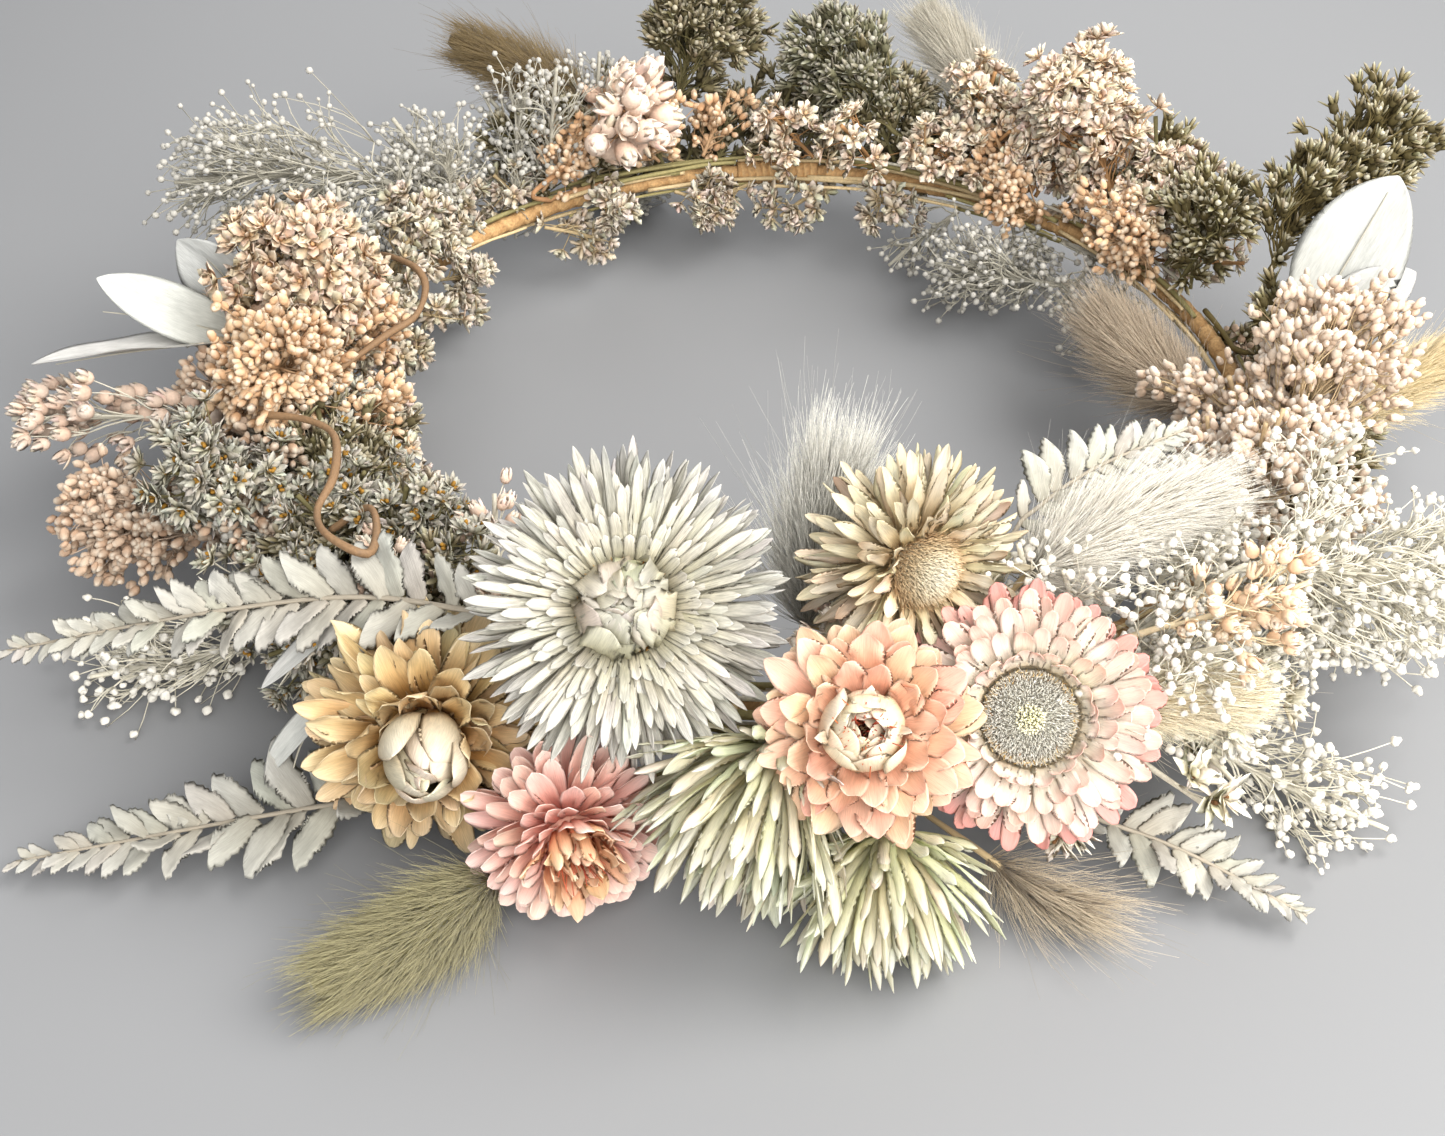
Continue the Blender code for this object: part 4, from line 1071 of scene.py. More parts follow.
def make_tail(name):
    """A soft head of fine hairs that stand out from a core, and longer stray ones."""
    way_out, half_width, spots, (root_tint, tip_tint), hairs, slot = TAILS[name]
    tissue = Tissue(name)
    rng = tissue.rng
    ends, path = smooth_route(spots, TAIL_POINTS)
    last = TAIL_POINTS - 1
    tangent, side, normal = carried_frames(path, UP)
    body, fluff = WISPY.get(name, (0.62, 1.0))
    girth = rod_shape(TAIL_POINTS, half_width * body * MM)
    tubes(tissue, path[None], girth[None], root_tint * 0.8, sides=14, variety=0.0)
    stem(tissue, stem_path(way_out, *ends), STALK_RADIUS, STRAW)

    def strands(count, length, thick, splay, shade, points, flop):
        """Hairs. length and thick are in mm, splay is their lean and flop how far their ends stray."""
        share = rng.uniform(0.0, 1.0, count) ** 0.9 * 0.93
        at = np.clip((share * last).astype(int), 0, last)
        turn = rng.uniform(0.0, 2.0 * np.pi, count)
        rim = spun(turn, side[at], normal[at])
        root = (path[at] + rim * (girth[at] * 0.9)[:, None]
                + tangent[at] * rng.uniform(-0.4, 0.4, (count, 1)) * MM)
        lean = splay * (1.0 - 0.72 * share) * rng.uniform(0.6, 1.25, count)
        heading = unit(spun(lean, tangent[at], rim) + 0.07 * rng.standard_normal((count, 3)))
        reach = (length * (1.0 + 0.2 * rng.standard_normal(count)) * (1.0 - 0.25 * share))[:, None] * MM
        end = root + heading * reach + flop * reach * rng.standard_normal((count, 3))
        end[:, 2] = np.maximum(end[:, 2], 0.4 * MM)
        first = unit(heading + 0.55 * rim) * reach * 0.42
        paths = arcs(root, end, first, points)
        paths[..., 2] = np.maximum(paths[..., 2], 0.3 * MM)
        fade = np.linspace(0.0, 1.0, points)[None, :, None, None]
        strand = shade * (1.0 + 0.12 * rng.standard_normal((count, 1, 1, 1)))
        tint = (root_tint + (tip_tint - root_tint) * fade ** 0.6) * strand
        tubes(tissue, paths, thick * MM * np.linspace(1.0, 0.35, points), tint, sides=3, variety=0.0)

    strands(int(hairs * 0.50), 0.75 * half_width * fluff, 0.070, 1.05, 0.92, 4, 0.06)
    strands(int(hairs * 0.50), 1.15 * half_width * fluff, 0.052, 0.85, 1.06, 4, 0.10)
    strands(int(hairs * 0.040), 1.9 * half_width * fluff, 0.048, 1.15, 0.66, 6, 0.12)
    tissue.make(down, name, slot=slot, painted_shade=painted_shade_of(name, slot))


# Ferns and leaves

FERNS = {
    # name: (way out, half width, spots, the way its upper side faces)
    "fern_left_upper": ((250, 80, 9), 10.5,
                        ((241, 112, 43), (230, 121, 42), (221, 142, 38), (213.5, 170, 30)),
                        (0, -0.5, 0.85)),
    "fern_left_lower": ((243, 300, 9), 12.0, ((236, 132, 10), (229, 150, 8), (221, 182, 4)),
                        (0, -0.1, 0.99)),
    "fern_right_upper": ((290, 105, -9), 8.5, ((297, 86, 46), (307, 86, 51), (319, 93, 55)),
                         (0.1, -0.6, 0.79)),
    "fern_right_lower": ((288, 340, -9), 9.0, ((294, 124, 9), (299, 137, 7), (303, 157, 4)),
                         (0, -0.1, 0.99)),
}
FERN_TINT = shades((0.0, 202, 195, 178), (0.4, 214, 210, 196), (1.0, 224, 222, 212))
RACHIS = srgb(206, 194, 174)
FAN = (0.52, 0.72, 4.5, 0.36, 1.2)
FROND_POINTS = 90

bleached = papery("bleached_leaf", 0.62, 0.20, 0.28, 0.3, 0.12)


def make_fern(name):
    """A frond of fan-shaped, finely toothed leaflets along both sides of its stalk."""
    way_out, reach, spots, facing = FERNS[name]
    tissue = Tissue(name)
    rng = tissue.rng
    ends, path = smooth_route(spots, FROND_POINTS)
    tangent, side, normal = carried_frames(path, facing)
    stalk = smooth_path(np.vstack([stem_path(way_out, *ends)[:-3], path])[::4], 60)
    tubes(tissue, stalk[None], (np.linspace(0.75, 0.22, 60) * MM)[None], RACHIS, sides=8, variety=0.0)
    length = np.linalg.norm(np.diff(path, axis=0), axis=1).sum() / MM
    places = []
    place = 0.03
    while place < 0.985:
        places.append(place)
        place += (0.50 - 0.30 * place) * 9.0 * (reach / 9.5) / length
    for hand in (-1.0, 1.0):
        stray = 0.012 * rng.standard_normal(len(places)) + 0.012 * hand
        share = np.clip(np.array(places) + stray, 0.0, 0.99)
        at = (share * (FROND_POINTS - 1)).astype(int)
        sweep = np.radians(28.0 + 26.0 * share + 5.0 * rng.standard_normal(len(share)))[:, None]
        outward = hand * side[at]
        rise = np.radians(10.0 + 10.0 * rng.standard_normal(len(share)))[:, None]
        level = np.cos(rise) * outward + np.sin(rise) * normal[at]
        along = np.cos(sweep) * level + np.sin(sweep) * tangent[at]
        size = reach * np.minimum(0.55 + 2.4 * share, 1.0) * np.clip(1.12 - share, 0.0, 1.0) ** 0.75
        origin = path[at] + along * 0.2 * MM
        blades(tissue, origin, along, normal[at] + 0.25 * rng.standard_normal((len(share), 3)),
               size * 1.12 * MM, size * 0.70 * MM, FAN, FERN_TINT,
               bend=0.25 * rng.standard_normal(len(share)), cup=-0.35,
               veer=hand * (0.28 + 0.1 * rng.standard_normal(len(share))),
               twist=0.2 * rng.standard_normal(len(share)), slant=-0.9 * hand, rows=24, cols=6,
               thickness=0.16 * MM, ripple=0.20, variety=0.03, teeth=(9, 0.22), midrib=0.12)
    tissue.make(bleached, name, slot="fern", painted_shade=painted_shade_of(name, "fern"))


LEAVES = {
    # name: (way out, the way its leaves face, leaves); a leaf is its half width and three spots along it
    "leaves_left": ((186, 45, 9), (-0.8, -0.3, 0.7),
                    ((6.2, ((183, 112, 37), (186, 126, 42), (190.7, 152, 46))),
                     (6.0, ((183, 112, 37), (183.5, 124, 44), (186, 142, 51))),
                     (9.5, ((182, 106, 38), (180, 116, 48), (179, 124, 58))))),
    "leaf_hanging": ((233, 350, 9), (-0.5, -0.8, 0.5),
                     ((2.4, ((230.5, 124, 26), (229.5, 136, 22), (229, 140, 9))),
                      (2.0, ((228, 118, 36), (227, 128, 32), (226.5, 136, 24))))),
    "leaves_right": ((357, 55, -9), (-0.2, -0.8, 0.55),
                     ((11.5, ((0, 108, 33), (4, 116, 43), (10, 131, 60))),
                      (6.5, ((1, 110, 35), (2, 120, 40), (4, 132, 46))))),
}
LEAF_TINT = shades((0.0, 222, 218, 206), (0.5, 238, 237, 232), (1.0, 244, 243, 239))
LEAF_SHAPE = (0.20, 0.48, 1.9, 0.75)


def make_leaves(name):
    """Bleached leaves on one stem, each grooved along the middle, where its stalk runs on as the midrib."""
    way_out, facing, leaves = LEAVES[name]
    tissue = Tissue(name)
    first, second, _ = (polar(*spot) for spot in leaves[0][1])
    stem(tissue, stem_path(way_out, first, second), STALK_RADIUS, CREAM_STEM)
    for half_width, spots in leaves:
        a, b, c = (polar(*spot) for spot in spots)
        along = unit(b - a)
        whole = unit(c - a)
        upward = unit(np.cross(np.cross(along, facing), along))
        way = np.sign(np.dot(whole - along, upward) + 1e-9)
        bend = 2.0 * math.acos(np.clip(np.dot(along, whole), -1.0, 1.0)) * way
        reach = np.linalg.norm(b - a) + np.linalg.norm(c - b)
        blades(tissue, a[None], along[None], upward[None], reach, 2.0 * half_width * MM, LEAF_SHAPE,
               LEAF_TINT, bend=bend, cup=0.38, rows=26, cols=10, thickness=0.3 * MM, ripple=0.06,
               midrib=0.10, variety=0.02)
        tubes(tissue, arcs(a[None], (a + (c - a) * 0.9)[None], ((b - a) * 0.95)[None], 16),
              np.linspace(0.42, 0.12, 16) * MM, CREAM_STEM, sides=6)
    tissue.make(bleached, name, slot="leaf", painted_shade=painted_shade_of(name, "leaf"))


# Small flowers and buds, one function for each kind of head

SPRAY_POINTS = 50
LOWEST_HEAD = 1.6 * MM
SNOW = srgb(240, 236, 226)
bud = dried("small_bud", 0.72, 0.25, 0.12)


def gypsophila_heads(shapes):
    """Dried double gypsophila: tight lumpy white balls of different sizes at the twig ends."""
    def heads(tissue, places, axes):
        size = tissue.rng.uniform(0.50, 0.92, len(places))
        beads(tissue, places, size * MM, SNOW, stretch=1.1, axes=axes, tip_tint=SNOW, shapes=shapes)
    return heads


def rice_heads(tints):
    """Rice flower: crowded oblong buds in threes, blushed at the base and pale at the tip."""
    def heads(tissue, places, axes):
        rng = tissue.rng
        count = len(places)
        for k in range(3):
            offset = 0.9 * MM * rng.standard_normal((count, 3))
            tint = tints[0] + (tints[1] - tints[0]) * rng.uniform(0.0, 1.0, (count, 1))
            beads(tissue, places + offset, rng.uniform(0.62, 0.95, count) * MM, tint, stretch=1.55,
                  axes=unit(axes + 0.35 * rng.standard_normal((count, 3))), tip_tint=tints[2],
                  shapes=TINY_BEADS if k == 2 else BEADS)
    return heads


def round_buds(tints, radius):
    """Round papery buds that open into a few pale scales at the top."""
    def heads(tissue, places, axes):
        rng = tissue.rng
        count = len(places)
        size = rng.uniform(0.8, 1.2, count) * radius
        tint = tints[0] + (tints[1] - tints[0]) * rng.uniform(0.0, 1.0, (count, 1))
        beads(tissue, places, size * MM, tint, stretch=1.15, axes=axes, tip_tint=tints[2],
              shapes=SMOOTH_BEADS)
        scales = ((0.0, tints[0]), (0.6, tints[1]), (1.0, tints[2]))
        whorl(tissue, places, axes, 6, radius * 0.55, -radius * 0.75, radius * 2.4, radius * 1.35, 62,
              OVAL, scales, bend=0.95, cup=0.9, rows=4, cols=2, thickness=PETAL_THICKNESS, tilt=9.0)
    return heads


def daisy_heads(radius, centre_tint, petals=9):
    """Ixodia daisies: two rings of pointed white paper petals round a small dark eye."""
    stops = shades((0.0, 206, 194, 154), (0.35, 236, 228, 204), (1.0, 248, 244, 230))

    def heads(tissue, places, axes):
        whorl(tissue, places, axes, petals, 0.5, 0.0, radius, radius * 0.55, 24, POINTED, stops,
              bend=0.25, cup=0.7, rows=3, cols=2, thickness=PETAL_THICKNESS, tilt=12.0, ripple=0.15)
        whorl(tissue, places, axes, petals - 3, 0.4, 0.2, radius * 0.75, radius * 0.5, 48, POINTED, stops,
              bend=0.2, cup=0.7, rows=3, cols=2, thickness=PETAL_THICKNESS, tilt=12.0)
        for k in range(4):
            offset = 0.34 * MM * tissue.rng.standard_normal((len(places), 3))
            tint = centre_tint * tissue.rng.uniform(0.6, 1.1, (len(places), 1))
            beads(tissue, places + axes * 0.9 * MM + offset, 0.42 * MM, tint, stretch=1.5, axes=axes,
                  shapes=TINY_BEADS)
    return heads


def flake_heads(outer, heart, radius):
    """Loose heads of cupped papery flakes round a warmer heart."""
    stops = ((0.0, heart), (0.45, (heart + outer) / 2.0), (1.0, outer))

    def heads(tissue, places, axes):
        for petals, rise, share in ((6, 18, 1.0), (4, 44, 0.85), (2, 66, 0.6)):
            whorl(tissue, places, axes, petals, 0.35, 0.1, radius * share, radius * 0.62 * share, rise,
                  ROUNDED, stops, bend=0.35, cup=0.8, rows=3, cols=2, thickness=PETAL_THICKNESS,
                  tilt=12.0, ripple=0.2, variety=0.08)
        beads(tissue, places + axes * 0.5 * MM, 0.55 * MM, heart, stretch=1.3, axes=axes, shapes=TINY_BEADS)
    return heads


def olive_heads(tints):
    """Seed heads: a bristle of dull scales with a pale floret at the end."""
    def heads(tissue, places, axes):
        rng = tissue.rng
        count = len(places)
        back = -axes * 1.6 * MM
        beads(tissue, places + back, rng.uniform(0.9, 1.25, count) * MM, tints[0] * 0.9, stretch=1.8,
              axes=axes, shapes=TINY_BEADS)
        stops = ((0.0, tints[0]), (0.55, tints[1]), (1.0, tints[2]))
        whorl(tissue, places + back, axes, 6, 0.7, 0.0, 3.2, 1.3, 58, OVAL, stops, bend=0.15, cup=0.8,
              rows=3, cols=2, thickness=PETAL_THICKNESS, tilt=10.0)
        beads(tissue, places + axes * 0.2 * MM, rng.uniform(0.45, 0.8, count) * MM, tints[2], stretch=1.1,
              shapes=TINY_BEADS)
    return heads


PINK_RICE = (srgb(224, 184, 152), srgb(238, 212, 186), srgb(250, 236, 216))
SALMON_RICE = (srgb(230, 180, 134), srgb(244, 210, 170), srgb(252, 234, 208))
PEACH_RICE = (srgb(226, 196, 168), srgb(242, 223, 202), srgb(252, 244, 232))
ROUND_PEACH = (srgb(224, 188, 152), srgb(242, 216, 186), srgb(252, 240, 220))
ROUND_PINK = (srgb(234, 200, 176), srgb(246, 222, 202), srgb(253, 242, 228))
OLIVE = (srgb(138, 126, 88), srgb(184, 170, 130), srgb(238, 228, 200))
STATICE = (srgb(122, 108, 66), srgb(186, 170, 122), srgb(244, 236, 210))
OLIVE_GREY = (srgb(150, 146, 112), srgb(194, 188, 158), srgb(236, 230, 212))
EYE = srgb(214, 158, 60)

SPRAYS = {
    # name: (way out, half width, half thickness, spots,
    #        head maker, forks, ends, spread, stem tint, slot)
    "gypsophila_left_low": ((218, 330, 9), 13, 8, ((213, 114, 12), (211, 130, 6), (208, 154, 4)),
        gypsophila_heads(CRUMPLED_BEADS), 46, 4, 3.2, CREAM_STEM, "gypsophila"),
    "gypsophila_left_back": ((140, 55, -9), 18, 15, ((145, 106, 36), (154, 116, 45), (165, 139, 51)),
        gypsophila_heads(TINY_BEADS), 96, 5, 3.6, CREAM_STEM, "gypsophila"),
    "gypsophila_inner_right": ((34, 200, -9), 12, 10, ((40, 84, 14), (48, 75, 15), (59, 70, 16)),
        gypsophila_heads(TINY_BEADS), 70, 4, 3.0, CREAM_STEM, "gypsophila"),
    "gypsophila_right_front": ((309, 40, -9), 17, 14, ((314, 112, 38), (319, 124, 38), (326, 148, 34)),
        gypsophila_heads(CRUMPLED_BEADS), 120, 5, 3.0, CREAM_STEM, "gypsophila"),
    "gypsophila_right_low": ((303, 320, -9), 12, 8, ((307, 118, 11), (310, 132, 6), (313, 153, 4)),
        gypsophila_heads(CRUMPLED_BEADS), 44, 4, 3.2, CREAM_STEM, "gypsophila"),
    "gypsophila_back_rest": ((120, 320, 9), 12, 9, ((114, 112, 10), (111, 119, 6), (106, 128, 5)),
        gypsophila_heads(TINY_BEADS), 56, 4, 3.0, CREAM_STEM, "gypsophila"),
    "rice_flower_left_pink": ((205, 350, 9), 11, 10, ((200, 112, 20), (199, 127, 21), (200, 149, 23)),
        rice_heads(PINK_RICE), 80, 4, 2.2, srgb(222, 196, 172), "rice_pink"),
    "rice_flower_left_salmon": ((196, 85, 9), 12, 11, ((190, 101, 34), (194, 104, 43), (200, 107, 52)),
        rice_heads(SALMON_RICE), 90, 4, 2.2, srgb(206, 168, 128), "rice_salmon"),
    "rice_flower_right_peach": ((330, 70, -9), 14, 13, ((334, 103, 33), (341, 107, 44), (350, 113, 56)),
        rice_heads(PEACH_RICE), 110, 4, 2.4, srgb(216, 190, 150), "rice_peach"),
    "rice_flower_front_right": ((297, 50, -9), 8, 6.5, ((302, 114, 38), (306, 122, 44), (310, 131, 52)),
        round_buds(ROUND_PEACH, 1.2), 22, 3, 2.5, srgb(230, 212, 178), "rice_peach"),
    "ixodia_left": ((212, 60, 9), 12, 10, ((208, 108, 31), (207, 117, 36), (206, 130, 42)),
        daisy_heads(3.4, EYE), 34, 3, 2.6, OLIVE_STEM, "ixodia"),
    "broom_clump_left": ((168, 90, -9), 14, 13, ((172, 101, 33), (177, 102, 44), (184, 104, 54)),
        flake_heads(srgb(246, 230, 208), srgb(236, 190, 140), 4.2), 70, 3, 2.6, srgb(196, 158, 108),
        "broom"),
    "pink_buds_back": ((126, 110, 9), 11, 10, ((122, 95, 32), (117, 94, 40), (109, 93, 48)),
        round_buds(ROUND_PINK, 2.6), 26, 2, 2.6, srgb(196, 150, 108), "pink_bud"),
    "olive_cluster_back_left": ((108, 30, 9), 13, 13, ((104, 108, 33), (101, 116, 44), (96, 121, 61)),
        olive_heads(OLIVE), 84, 3, 2.6, OLIVE_STEM, "olive"),
    "olive_cluster_back_right": ((68, 60, -9), 12, 11, ((73, 101, 31), (80, 105, 42), (87, 108, 54)),
        olive_heads(OLIVE_GREY), 76, 3, 2.6, OLIVE_STEM, "olive"),
    "peach_cluster_back": ((34, 75, -9), 13, 12, ((38, 99, 33), (43, 100, 45), (49, 100, 60)),
        flake_heads(srgb(250, 238, 220), srgb(226, 190, 150), 3.8), 76, 3, 2.4, srgb(186, 142, 96),
        "rice_peach"),
    "statice_right": ((8, 50, -9), 14, 12, ((12, 108, 35), (16, 119, 46), (20, 148, 60)),
        olive_heads(STATICE), 96, 3, 2.8, srgb(150, 132, 82), "statice"),
    "pink_bud_stems_left": ((196, 15, 9), 9, 7, ((192, 112, 29), (190.5, 132, 31), (190, 159, 33)),
        round_buds(ROUND_PINK, 1.5), 22, 3, 2.6, CREAM_STEM, "rice_pink"),
}

# Painted shade: a piece's colours are multiplied by its value here; the lowest values darken the pieces at
# the left and at the back.
PAINTED_SHADE_FACTORS = {
    # by piece
    "white": 0.80, "cream": 0.84, "peach": 0.90, "pink_rim": 0.96, "honey": 0.80, "rose": 1.0,
    "gypsophila_right_front": 0.86, "gypsophila_right_low": 0.90, "gypsophila_left_low": 0.85,
    "rice_flower_front_right": 0.95, "peach_cluster_back": 0.90, "fern_right_upper": 0.82,
    "fern_right_lower": 0.78, "leaves_right": 0.62, "fill_gypsophila_front": 0.86,
    "fill_cream_flakes": 0.72, "fill_posy_buds": 0.80, "fill_ixodia_front": 0.95, "fill_ixodia_low": 0.8,
    "fill_peach": 0.86, "fill_salmon": 0.74,
    # by material slot
    "gypsophila": 0.55, "broom": 0.76, "rice_salmon": 0.68, "rice_pink": 0.66, "rice_peach": 0.78,
    "ixodia": 0.51, "statice": 0.56, "olive": 0.52, "pink_bud": 0.86, "plume_brown": 0.48,
    "plume_white": 0.88, "plume_green": 0.88, "fern": 0.63, "leaf": 0.68,
}


def painted_shade_of(name, slot):
    """How far painted shade darkens a piece's colours: its own value, or its kind's."""
    return PAINTED_SHADE_FACTORS.get(name, PAINTED_SHADE_FACTORS.get(slot, 1.0))


def make_spray(name):
    """A branched spray with a head at every twig end, on a stem of its own."""
    (way_out, half_width, half_thickness, spots, heads, forks, twigs, spread, tint, slot) = SPRAYS[name]
    tissue = Tissue(name)
    ends, path = smooth_route(spots, SPRAY_POINTS)
    stem(tissue, stem_path(way_out, *ends), STALK_RADIUS, tint)
    middle = unit((path[0] + path[-1]) / 2.0 - HOOP_MIDDLE)
    places, axes = panicle(tissue, path, half_width, half_thickness, middle + 0.4 * UP, forks, twigs, tint,
                           spread)
    places[:, 2] = np.maximum(places[:, 2], LOWEST_HEAD)
    heads(tissue, places, axes)
    tissue.make(bud, name, slot=slot, painted_shade=painted_shade_of(name, slot))


FILL = {
    # name: (head maker, stem tint, slot, rows of sprigs); a row is
    # (first azimuth, last azimuth, step, section angle, length, half width, forks)
    "fill_gypsophila": (gypsophila_heads(TINY_BEADS), CREAM_STEM, "gypsophila",
                        ((118, 170, 6, 60, 26, 10, 34), (122, 172, 7, 15, 24, 10, 30),
                         (126, 168, 8, 330, 16, 8, 20),
                         (22, 62, 8, 200, 16, 8, 24), (214, 232, 8, 20, 20, 9, 26))),
    "fill_gypsophila_front": (gypsophila_heads(CRUMPLED_BEADS), CREAM_STEM, "gypsophila",
                              ((300, 334, 5, 35, 36, 12, 25), (290, 330, 6, 80, 24, 10, 19),
                               (302, 328, 6, 350, 34, 12, 24), (292, 316, 6, 130, 10, 7, 10))),
    "fill_cream_flakes": (flake_heads(srgb(244, 236, 220), srgb(226, 200, 160), 3.4), STRAW, "broom",
                          ((74, 182, 11, 195, 7, 5, 5), (80, 140, 12, 20, 8, 5, 6),
                           (146, 178, 8, 100, 14, 8, 8),
                           (182, 214, 8, 170, 10, 6, 6))),
    "fill_pink": (rice_heads(PINK_RICE), srgb(222, 196, 172), "rice_pink",
                  ((184, 202, 6, 30, 22, 9, 24), (188, 204, 7, 350, 20, 9, 22),
                   (352, 372, 9, 320, 16, 8, 16))),
    "fill_salmon": (rice_heads(SALMON_RICE), srgb(206, 168, 128), "rice_salmon",
                    ((100, 128, 7, 70, 14, 7, 14), (180, 204, 7, 100, 16, 8, 20),
                     (24, 52, 7, 110, 16, 8, 18))),
    "fill_olive": (olive_heads(OLIVE), OLIVE_STEM, "olive",
                   ((58, 126, 7, 40, 22, 9, 16), (62, 110, 8, 350, 16, 8, 10))),
    "fill_olive_left": (olive_heads(OLIVE), OLIVE_STEM, "olive",
                        ((200, 232, 5, 60, 16, 9, 14), (204, 230, 6, 20, 20, 9, 12),
                         (204, 228, 7, 150, 9, 6, 8))),
    "fill_statice": (olive_heads(STATICE), OLIVE_STEM, "statice",
                     ((336, 357, 7, 30, 17, 8, 17), (340, 374, 8, 350, 18, 8, 10),
                      (19, 31, 4, 65, 26, 8, 16))),
    "fill_peach": (flake_heads(srgb(250, 240, 222), srgb(222, 188, 148), 3.4), srgb(186, 142, 96),
                   "rice_peach",
                   ((32, 62, 6, 60, 24, 10, 16), (32, 56, 8, 15, 18, 8, 9), (62, 84, 7, 100, 18, 8, 7))),
    "fill_peach_rice": (rice_heads(PEACH_RICE), srgb(216, 190, 150), "rice_peach",
                        ((322, 352, 6, 60, 26, 10, 26), (326, 350, 8, 110, 20, 8, 18),
                         (324, 344, 8, 10, 22, 9, 20))),
    "fill_posy_buds": (round_buds(ROUND_PINK, 1.2), CREAM_STEM, "rice_pink",
                       ((228, 244, 8, 70, 20, 8, 8), (238, 250, 6, 110, 20, 7, 8),
                        (262, 276, 7, 80, 18, 7, 8))),
    "fill_ixodia": (daisy_heads(2.8, EYE), OLIVE_STEM, "ixodia",
                    ((203, 232, 6, 85, 18, 8, 8), (205, 230, 7, 30, 24, 9, 10),
                     (208, 228, 7, 345, 26, 9, 10))),
    "fill_ixodia_front": (daisy_heads(5.4, UMBER * 1.3, 6), CREAM_STEM, "ixodia",
                          ((299, 306, 3.5, 0, 34, 5, 2), (297, 303, 3, 350, 30, 5, 2))),
    "fill_ixodia_low": (daisy_heads(3.4, EYE, 7), CREAM_STEM, "ixodia",
                        ((212, 226, 6, 345, 26, 9, 12),)),
}


def make_fill(name):
    """Short sprigs, side by side round part of the hoop, that hide the hoop between the larger plants."""
    heads, tint, slot, rows = FILL[name]
    tissue = Tissue(name)
    rng = tissue.rng
    for first, last, step, section, length, half_width, forks in rows:
        for azimuth in np.arange(first, last + 0.1, step):
            turn = section + rng.uniform(-18.0, 18.0)
            start = azimuth + rng.uniform(-2.0, 2.0)
            lean = rng.choice((-1.0, 1.0)) * rng.uniform(2.0, 9.0)
            reach = length * rng.uniform(0.85, 1.15)
            share = np.array((0.0, 0.5, 1.0))
            bow = round_hoop(start + lean * share, turn + 8.0 * share, (4.6 + reach * share) * MM)
            places, axes = panicle(tissue, smooth_path(bow, 30), half_width, half_width * 0.85, UP + 0.1,
                                   forks, 3, tint, spread=2.3, low=0.1)
            heads(tissue, places, axes)
    tissue.make(bud, slot=slot, painted_shade=painted_shade_of(name, slot))


# The crown

make_hoop()
make_binding()
make_hoop_stems()
make_curly_stems()
make_white_flower()
make_cream_flower()
make_peach_flower()
make_pink_rim_flower()
make_honey_flower()
make_rose_flower()
make_green_flowers()
for tail_name in TAILS:
    make_tail(tail_name)
for fern_name in FERNS:
    make_fern(fern_name)
for leaf_name in LEAVES:
    make_leaves(leaf_name)
for spray_name in SPRAYS:
    make_spray(spray_name)
for fill_name in FILL:
    make_fill(fill_name)


CORE_STEEL = (0.30, 0.28, 0.25, 1.0)
CORE_GRAIN = (400.0, 400.0, 400.0)


def dress_core():
    """The hoop's wire core keeps its CAD shape and gets dull steel with faint marks."""
    steel, tree, shader, _, _, _ = new_material("hoop_wire_metal")
    shader.inputs["Base Color"].default_value = CORE_STEEL
    shader.inputs["Metallic"].default_value = 1.0
    place = node(tree, "ShaderNodeTexCoord")
    marks = noise_on(tree, place.outputs["Object"], CORE_GRAIN, 1.0)
    tree.links.new(ranged(tree, marks, 0.3, 0.7, 0.35, 0.6), shader.inputs["Roughness"])
    materials = bpy.data.objects["hoop_wire_core"].data.materials
    materials.clear()
    materials.append(steel)


dress_core()


# Floor, light and camera

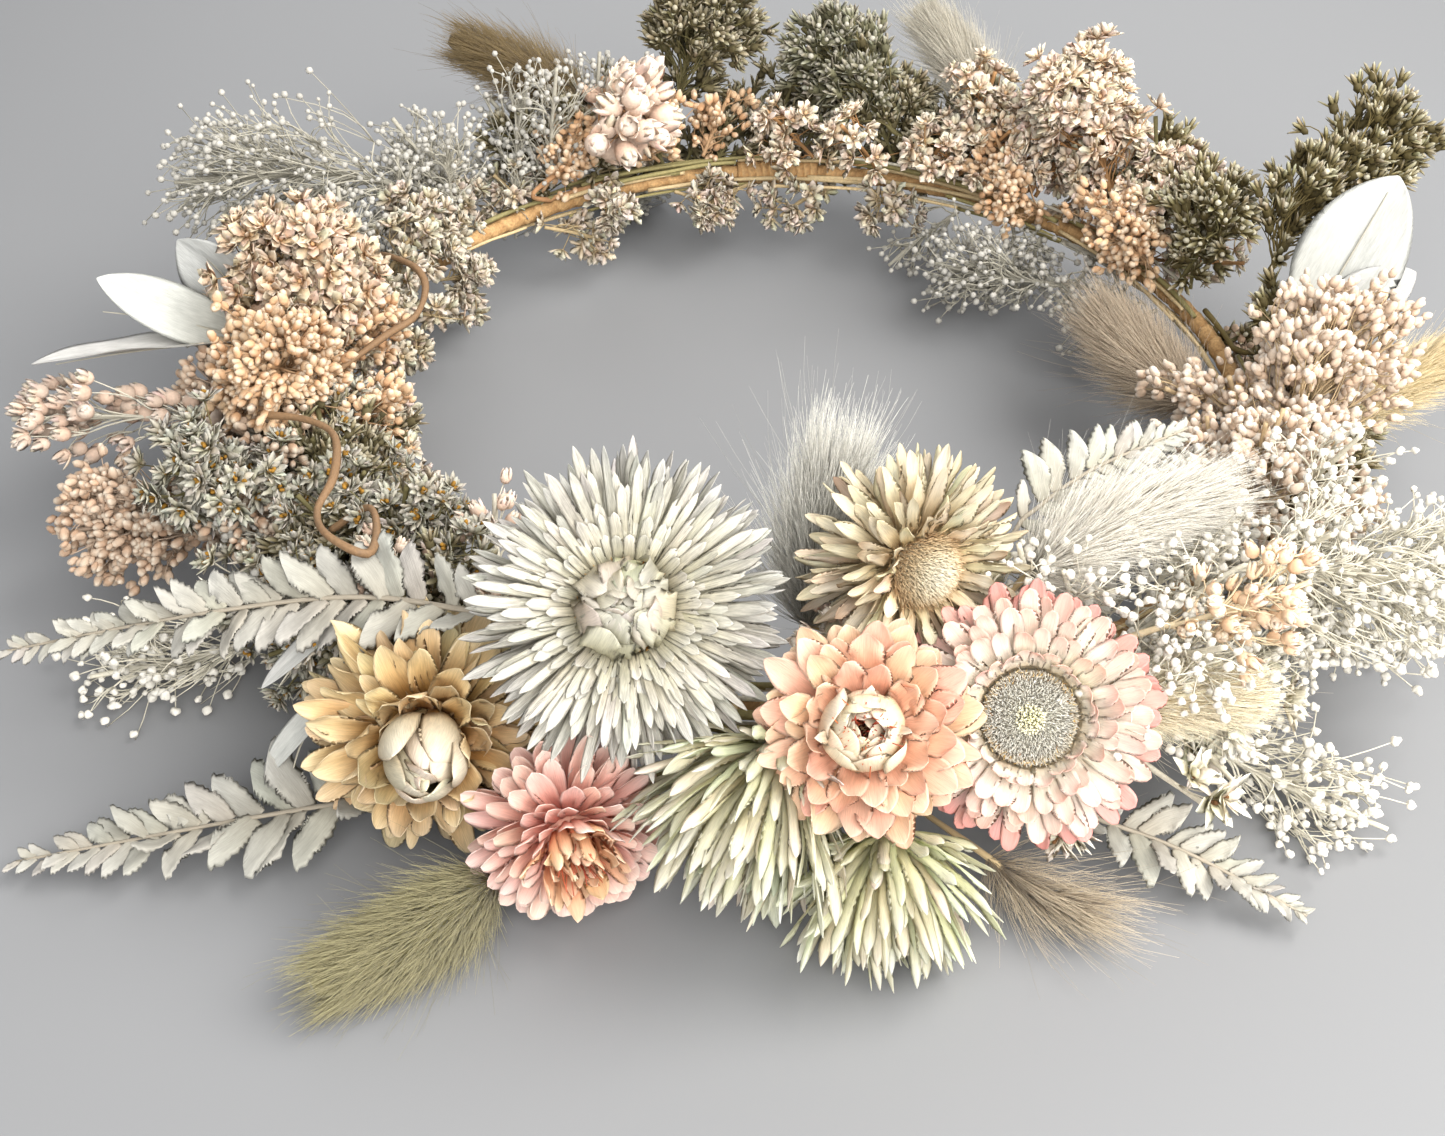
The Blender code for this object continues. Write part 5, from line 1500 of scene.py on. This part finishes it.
FLOOR_HALF = 6.0
FLOOR_GREY = (0.166, 0.169, 0.175, 1.0)
FLOOR_ROUGHNESS = 0.55
SKY_TINT = (0.97, 0.98, 1.0, 1.0)
SKY_STRENGTH = 0.58
LIGHTS = {
    # name: (place in m, size in m, watts, tint)
    "key": ((0.62, -0.05, 0.72), 0.8, 18.0, (1.0, 0.98, 0.94)),
    "front": ((0.12, -0.72, 0.55), 1.0, 18.5, (1.0, 0.985, 0.955)),
    "back": ((0.0, 0.9, 0.5), 1.0, 3.5, (1.0, 1.0, 1.0)),
}
LENS = 49.45
SENSOR_WIDTH = 36.0
CAMERA_PLACE = np.array((-13.9, -352.2, 266.3))
CAMERA_TILT = 50.0


def placed(name, data):
    """A new object in the scene."""
    made = bpy.data.objects.new(name, data)
    bpy.context.collection.objects.link(made)
    return made


def make_floor():
    """A plain pale floor that fills the view of the camera below."""
    mesh = bpy.data.meshes.new("floor")
    corners = [(x * FLOOR_HALF, y * FLOOR_HALF, 0) for x, y in ((-1, -1), (1, -1), (1, 1), (-1, 1))]
    mesh.from_pydata(corners, [], [(0, 1, 2, 3)])
    surface = bpy.data.materials.new("pale_floor")
    surface.use_nodes = True
    shader = surface.node_tree.nodes["Principled BSDF"]
    shader.inputs["Base Color"].default_value = FLOOR_GREY
    shader.inputs["Roughness"].default_value = FLOOR_ROUGHNESS
    mesh.materials.append(surface)
    placed("floor", mesh)


def make_lights():
    """An even pale sky, and soft round lights that look at the middle of the hoop."""
    world = bpy.data.worlds.new("studio")
    bpy.context.scene.world = world
    world.use_nodes = True
    background = world.node_tree.nodes["Background"]
    background.inputs["Color"].default_value = SKY_TINT
    background.inputs["Strength"].default_value = SKY_STRENGTH
    for name, (place, size, watts, tint) in LIGHTS.items():
        data = bpy.data.lights.new(name, "AREA")
        data.shape = "DISK"
        data.size = size
        data.energy = watts
        data.color = tint
        lamp = placed(name, data)
        lamp.location = place
        aim = mathutils.Vector(tuple(HOOP_MIDDLE)) - mathutils.Vector(place)
        lamp.rotation_euler = aim.to_track_quat("-Z", "Y").to_euler()


def make_camera():
    """A camera in front of the crown, and plain display, so that pale bracts stay as pale as they are."""
    data = bpy.data.cameras.new("camera")
    data.lens = LENS
    data.sensor_width = SENSOR_WIDTH
    camera = placed("camera", data)
    camera.location = HOOP_FOOT + CAMERA_PLACE * MM
    camera.rotation_euler = (math.radians(CAMERA_TILT), 0.0, 0.0)
    bpy.context.scene.camera = camera
    bpy.context.scene.view_settings.view_transform = "Standard"


make_floor()
make_lights()
make_camera()
